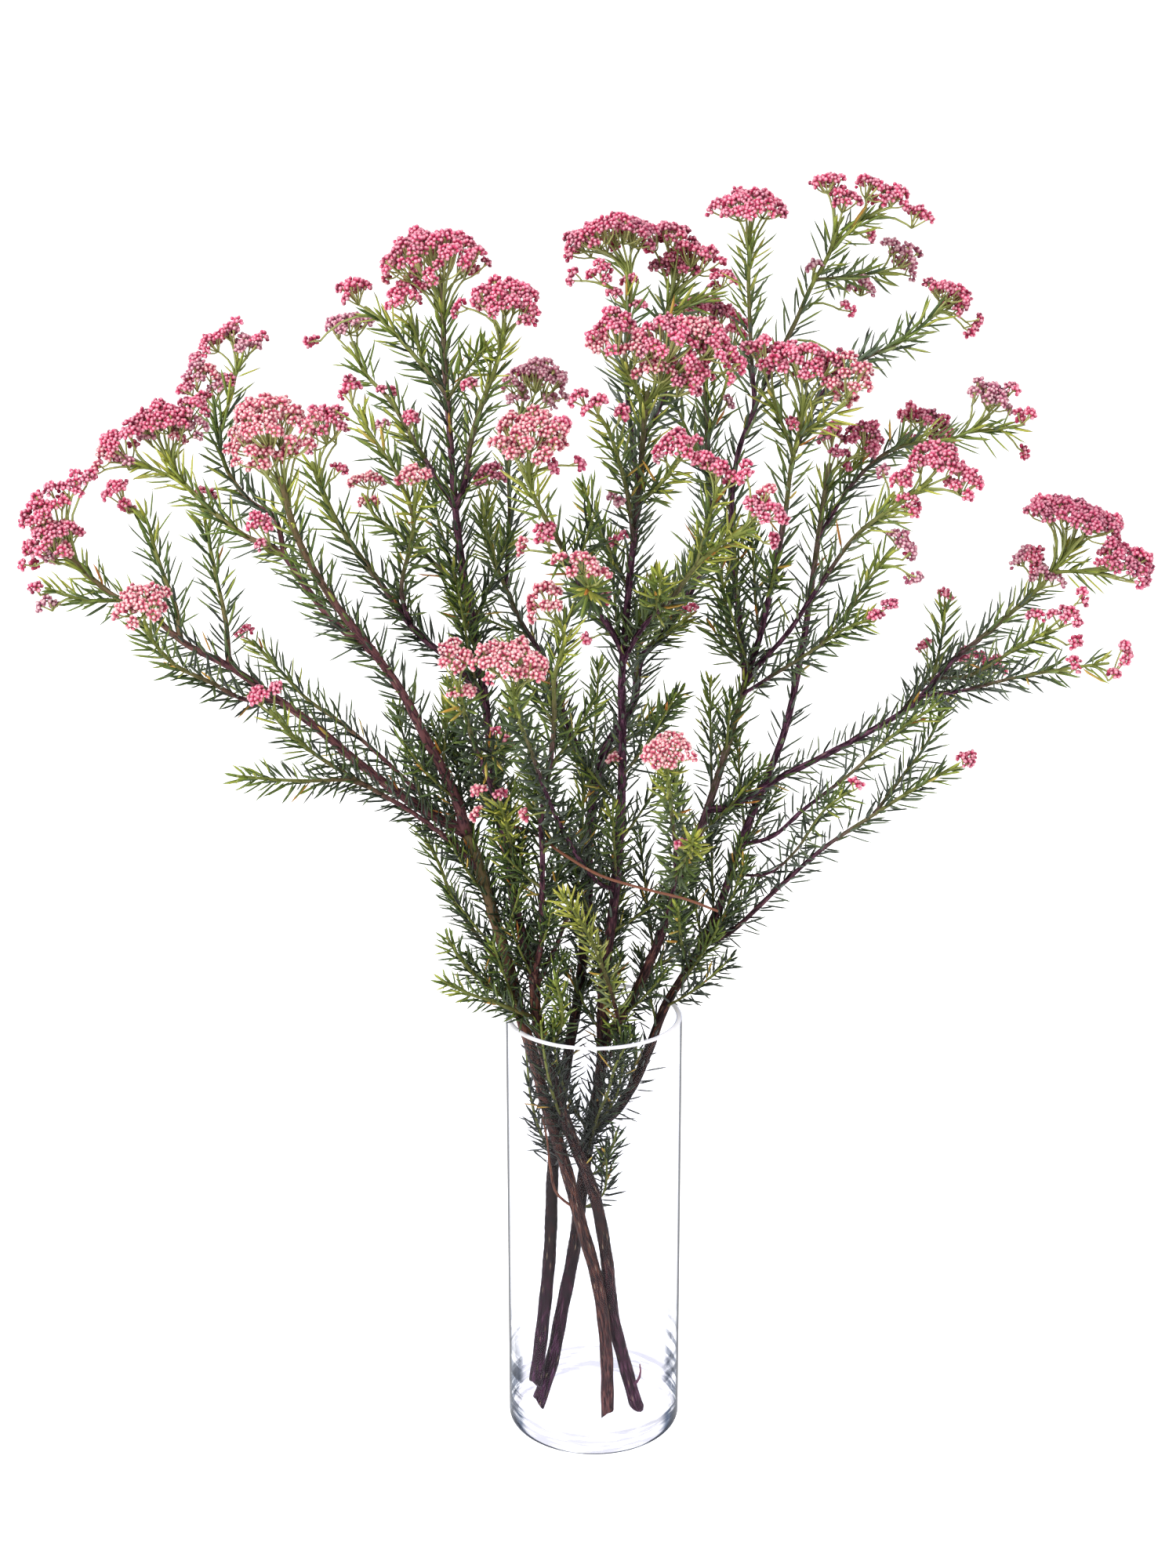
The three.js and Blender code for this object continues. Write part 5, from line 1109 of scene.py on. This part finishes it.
# The vase's section as (distance from axis, height), from the middle of the foot round to the middle of the
# inner floor, turned once about the axis. The foot stands on a ring and rises a little inside it.
def vasePart():
    radius, height, wall, heel = vase["radius"], vase["height"], vase["wall"], vase["heel"]
    inside, lip, bend = radius - wall, wall / 2, vase["insideHeel"]
    steps = vase["wallSteps"]
    share = np.linspace(vase["innermost"], 1, vase["footSteps"])
    foot = np.stack([(radius - heel) * share, vase["pushUp"] * (1 - share**3)], -1)
    outer = np.stack([np.full(steps, radius), np.linspace(heel, height - lip, steps + 1)[1:]], -1)
    corner = vase["floor"] + vase["floorRise"] + bend
    inner = np.stack([np.full(steps, inside), np.linspace(height - lip, corner, steps + 1)[1:]], -1)
    share = np.linspace(1, vase["innermost"], vase["floorSteps"] + 1)[1:]
    bottom = np.stack([(inside - bend) * share, vase["floor"] + vase["floorRise"] * share**2], -1)
    section = np.concatenate([
        foot, arc((radius - heel, heel), heel, -90, 0), outer,
        arc((radius - lip, height - lip), lip, 0, 180, vase["lipSteps"]), inner,
        arc((inside - bend, corner), bend, 0, -90), bottom])
    turn = np.arange(vase["segments"]) * 2 * np.pi / vase["segments"]
    rings = np.stack([section[:, :1] * np.cos(turn), section[:, :1] * np.sin(turn),
                      np.broadcast_to(section[:, 1:], (len(section), len(turn)))], -1)
    ends = np.array([[0, 0, vase["pushUp"]], [0, 0, vase["floor"]]], float)
    points = np.concatenate([rings.reshape(-1, 3), ends])
    ring = np.arange(len(section))
    lipTop = len(foot) + vase["arcSteps"] + len(outer) + vase["lipSteps"] // 2
    outside = np.repeat((ring >= len(foot)) & (ring < lipTop), len(turn))
    return {"points": points, "faces": tubeFaces(1, len(section), vase["segments"]),
            "outside": np.concatenate([outside, [0, 0]]).astype(float)}


def glassMaterial():
    material, tree = newMaterial("clear soda-lime glass")
    facing = addNode(tree, "LayerWeight", {"Blend": 0.5}).outputs["Facing"]
    outside = addNode(tree, "Attribute", attribute_name="outside").outputs["Fac"]
    place = addNode(tree, "TexCoord").outputs["Object"]
    height = addNode(tree, "SeparateXYZ", {0: place}).outputs["Z"]
    # a painted reflection: the dark blue-grey line along each side, nearly none on the inner face
    line = addNode(tree, "MapRange", {"Value": facing, "From Min": vase["edgeFacing"][0],
                                      "From Max": vase["edgeFacing"][1]}, interpolation_type="SMOOTHSTEP")
    onFace = addNode(tree, "MapRange", {"Value": outside, "To Min": vase["innerEdge"]})
    edge = addNode(tree, "Math", {0: line, 1: onFace}, operation="MULTIPLY")
    wall = addNode(tree, "Mix", {0: edge, 6: linear(vase["clear"]), 7: linear(vase["edge"])},
                   data_type="RGBA")
    # painted reflections: slanting grey streaks low on both sides, fading out upwards
    slant = addNode(tree, "Mapping", {"Vector": place, "Rotation": vase["streakTilt"],
                                      "Scale": vase["streaksPerMetre"]})
    ripple = addNode(tree, "TexNoise", {"Vector": slant, "Scale": 1.0, "Detail": 3.0})
    streaks = addNode(tree, "MapRange", {"Value": ripple, "From Min": vase["streakNoise"][0],
                                         "From Max": vase["streakNoise"][1], "To Max": vase["streakShare"]})
    low = addNode(tree, "MapRange", {"Value": height, "From Min": vase["streakHeights"][0],
                                     "From Max": vase["streakHeights"][1]})
    sideways = addNode(tree, "MapRange", {"Value": facing, "From Min": vase["sideFacing"][0],
                                          "From Max": vase["sideFacing"][1]}, interpolation_type="SMOOTHSTEP")
    share = streaks
    for factor in (low, sideways, outside):
        share = addNode(tree, "Math", {0: share, 1: factor}, operation="MULTIPLY")
    lower = addNode(tree, "Mix", {0: share, 6: wall, 7: linear(vase["streak"])}, data_type="RGBA")
    # the base: a painted reflection of the surroundings in place of its refraction, pale grey with flat
    # ripples, darker towards both sides
    inBase = addNode(tree, "MapRange", {"Value": height, "From Min": vase["baseHeights"][0],
                                        "From Max": vase["baseHeights"][1]})
    inBase = addNode(tree, "Math", {0: inBase, 1: outside}, operation="MULTIPLY")
    flat = addNode(tree, "Mapping", {"Vector": place, "Scale": vase["baseReflectionPerMetre"]})
    rings = addNode(tree, "TexNoise", {"Vector": flat, "Scale": 1.0, "Detail": 4.0})
    baseReflectionRipples = addNode(tree, "MapRange", {"Value": rings, "From Min": vase["baseReflectionNoise"][0],
                                      "From Max": vase["baseReflectionNoise"][1]})
    share = addNode(tree, "Math", {0: baseReflectionRipples, 1: inBase}, operation="MULTIPLY")
    deep = addNode(tree, "Mix", {0: sideways, 6: linear(vase["baseReflection"]), 7: linear(vase["streak"])},
                   data_type="RGBA")
    tint = addNode(tree, "Mix", {0: share, 6: lower, 7: deep}, data_type="RGBA")
    through = addNode(tree, "BsdfTransparent", {"Color": tint})
    # a polished face mirrors more the further it turns away
    mirror = addNode(tree, "BsdfGlossy", {"Roughness": 0.0})
    turning = addNode(tree, "Math", {0: facing, 1: vase["glossPower"]}, operation="POWER")
    shine = addNode(tree, "MapRange", {"Value": turning, "To Min": vase["leastGloss"],
                                       "To Max": vase["mostGloss"]})
    walls = addNode(tree, "MixShader", {0: shine, 1: through, 2: mirror})
    # the lip: a painted highlight, white where its melted round edge gathers the light, and a painted blue
    # reflection where it turns away
    lipHighlight = addNode(tree, "ValToRGB", {"Fac": facing},
                     stops=((vase["lipFacing"][0], vase["lip"]), (vase["lipFacing"][1], vase["lipReflection"])))
    paintedLip = addNode(tree, "BsdfPrincipled", {"Base Color": lipHighlight, "Roughness": vase["lipRoughness"]})
    lip = addNode(tree, "MapRange", {"Value": height, "From Min": vase["lipHeights"][0],
                                     "From Max": vase["lipHeights"][1], "To Max": vase["lipShare"]})
    rimmed = addNode(tree, "MixShader", {0: lip, 1: walls, 2: paintedLip})
    # light on its way to a surface passes the glass unchanged, so it casts no dark shadow
    clear = addNode(tree, "BsdfTransparent", {"Color": linear(vase["clear"])})
    isShadow = addNode(tree, "LightPath").outputs["Is Shadow Ray"]
    both = addNode(tree, "MixShader", {0: isShadow, 1: rimmed, 2: clear})
    addNode(tree, "OutputMaterial", {"Surface": both})
    return material


makePiece("glass_vase", vasePart(), glassMaterial(), ["vase"])

# The studio: a wide pale floor, a soft sky that is brighter towards the horizon, and two soft lamps, the
# stronger one up and to the left of the eye. Lengths are in metres and the lamps' power in watts. The floor
# glows enough to stay even in the picture, and lights the object with only a share of that glow.
studio = {"floor": "#F0F0F0", "floorSize": 60.0, "floorDown": -0.0001, "floorRoughness": 0.9,
          "floorGlow": 0.93, "bounceShare": 0.215, "white": "#FFFFFF",
          "horizon": 1.25, "zenith": 0.5, "skyHeights": (0.02, 0.35),
          "key": 62.0, "keySize": 1.1, "keyPlace": (-1.3, -1.5, 2.0),
          "fill": 12.0, "fillSize": 1.6, "fillPlace": (1.7, -1.0, 1.2),
          "aim": (0.0, 0.0, 0.42), "exposure": 0.0, "sensorWidth": 36.0}


# A square floor just under the vase's foot, with a glow that depends on whether a bounced ray sees it.
def addFloor():
    half, down = studio["floorSize"] / 2, studio["floorDown"]
    mesh = bpy.data.meshes.new("floor")
    corners = [(-half, -half, down), (half, -half, down), (half, half, down), (-half, half, down)]
    mesh.from_pydata(corners, [], [(0, 1, 2, 3)])
    material, tree = newMaterial("matte white studio floor")
    isBounce = addNode(tree, "LightPath").outputs["Is Diffuse Ray"]
    glow = addNode(tree, "MapRange", {"Value": isBounce, "To Min": studio["floorGlow"],
                                      "To Max": studio["floorGlow"] * studio["bounceShare"]})
    shader = addNode(tree, "BsdfPrincipled", {"Base Color": linear(studio["floor"]),
                                              "Roughness": studio["floorRoughness"],
                                              "Emission Color": linear(studio["white"]),
                                              "Emission Strength": glow})
    addNode(tree, "OutputMaterial", {"Surface": shader})
    mesh.materials.append(material)
    floor = bpy.data.objects.new("floor", mesh)
    bpy.context.scene.collection.objects.link(floor)


# A square lamp that looks at the studio's aim.
def addLamp(name):
    lamp = bpy.data.lights.new(name, "AREA")
    lamp.size = studio[name + "Size"]
    lamp.energy = studio[name]
    holder = bpy.data.objects.new(name, lamp)
    holder.location = studio[name + "Place"]
    holder.rotation_euler = (Vector(studio["aim"]) - holder.location).to_track_quat("-Z", "Y").to_euler()
    bpy.context.scene.collection.objects.link(holder)


# The sky's light by height: from horizon to zenith, eased between skyHeights of a ray's upward share.
def addSky():
    world = bpy.data.worlds.new("studio sky")
    bpy.context.scene.world = world
    world.use_nodes = True
    tree = world.node_tree
    tree.nodes.clear()
    heading = addNode(tree, "TexCoord").outputs["Generated"]
    height = addNode(tree, "SeparateXYZ", {0: heading}).outputs["Z"]
    light = addNode(tree, "MapRange", {"Value": height, "From Min": studio["skyHeights"][0],
                                       "From Max": studio["skyHeights"][1], "To Min": studio["horizon"],
                                       "To Max": studio["zenith"]}, interpolation_type="SMOOTHSTEP")
    ground = addNode(tree, "Background", {"Color": linear(studio["white"]), "Strength": light})
    addNode(tree, "OutputWorld", {"Surface": ground})


# The eye as a camera: lens = focal length in picture points / picture height x sensor width.
def addCamera():
    camera = bpy.data.cameras.new("camera")
    camera.sensor_width = studio["sensorWidth"]
    camera.lens = eye["focal"] / eye["pictureHeight"] * camera.sensor_width
    holder = bpy.data.objects.new("camera", camera)
    holder.location = (eye["side"] / 1000, -eye["distance"] / 1000, eye["height"] / 1000)
    holder.rotation_euler = (np.pi / 2 - eye["tilt"], 0, 0)
    bpy.context.scene.collection.objects.link(holder)
    bpy.context.scene.camera = holder


addFloor()
addLamp("key")
addLamp("fill")
addSky()
addCamera()
bpy.context.scene.view_settings.view_transform = "Standard"
bpy.context.scene.view_settings.exposure = studio["exposure"]
print("studio ready")
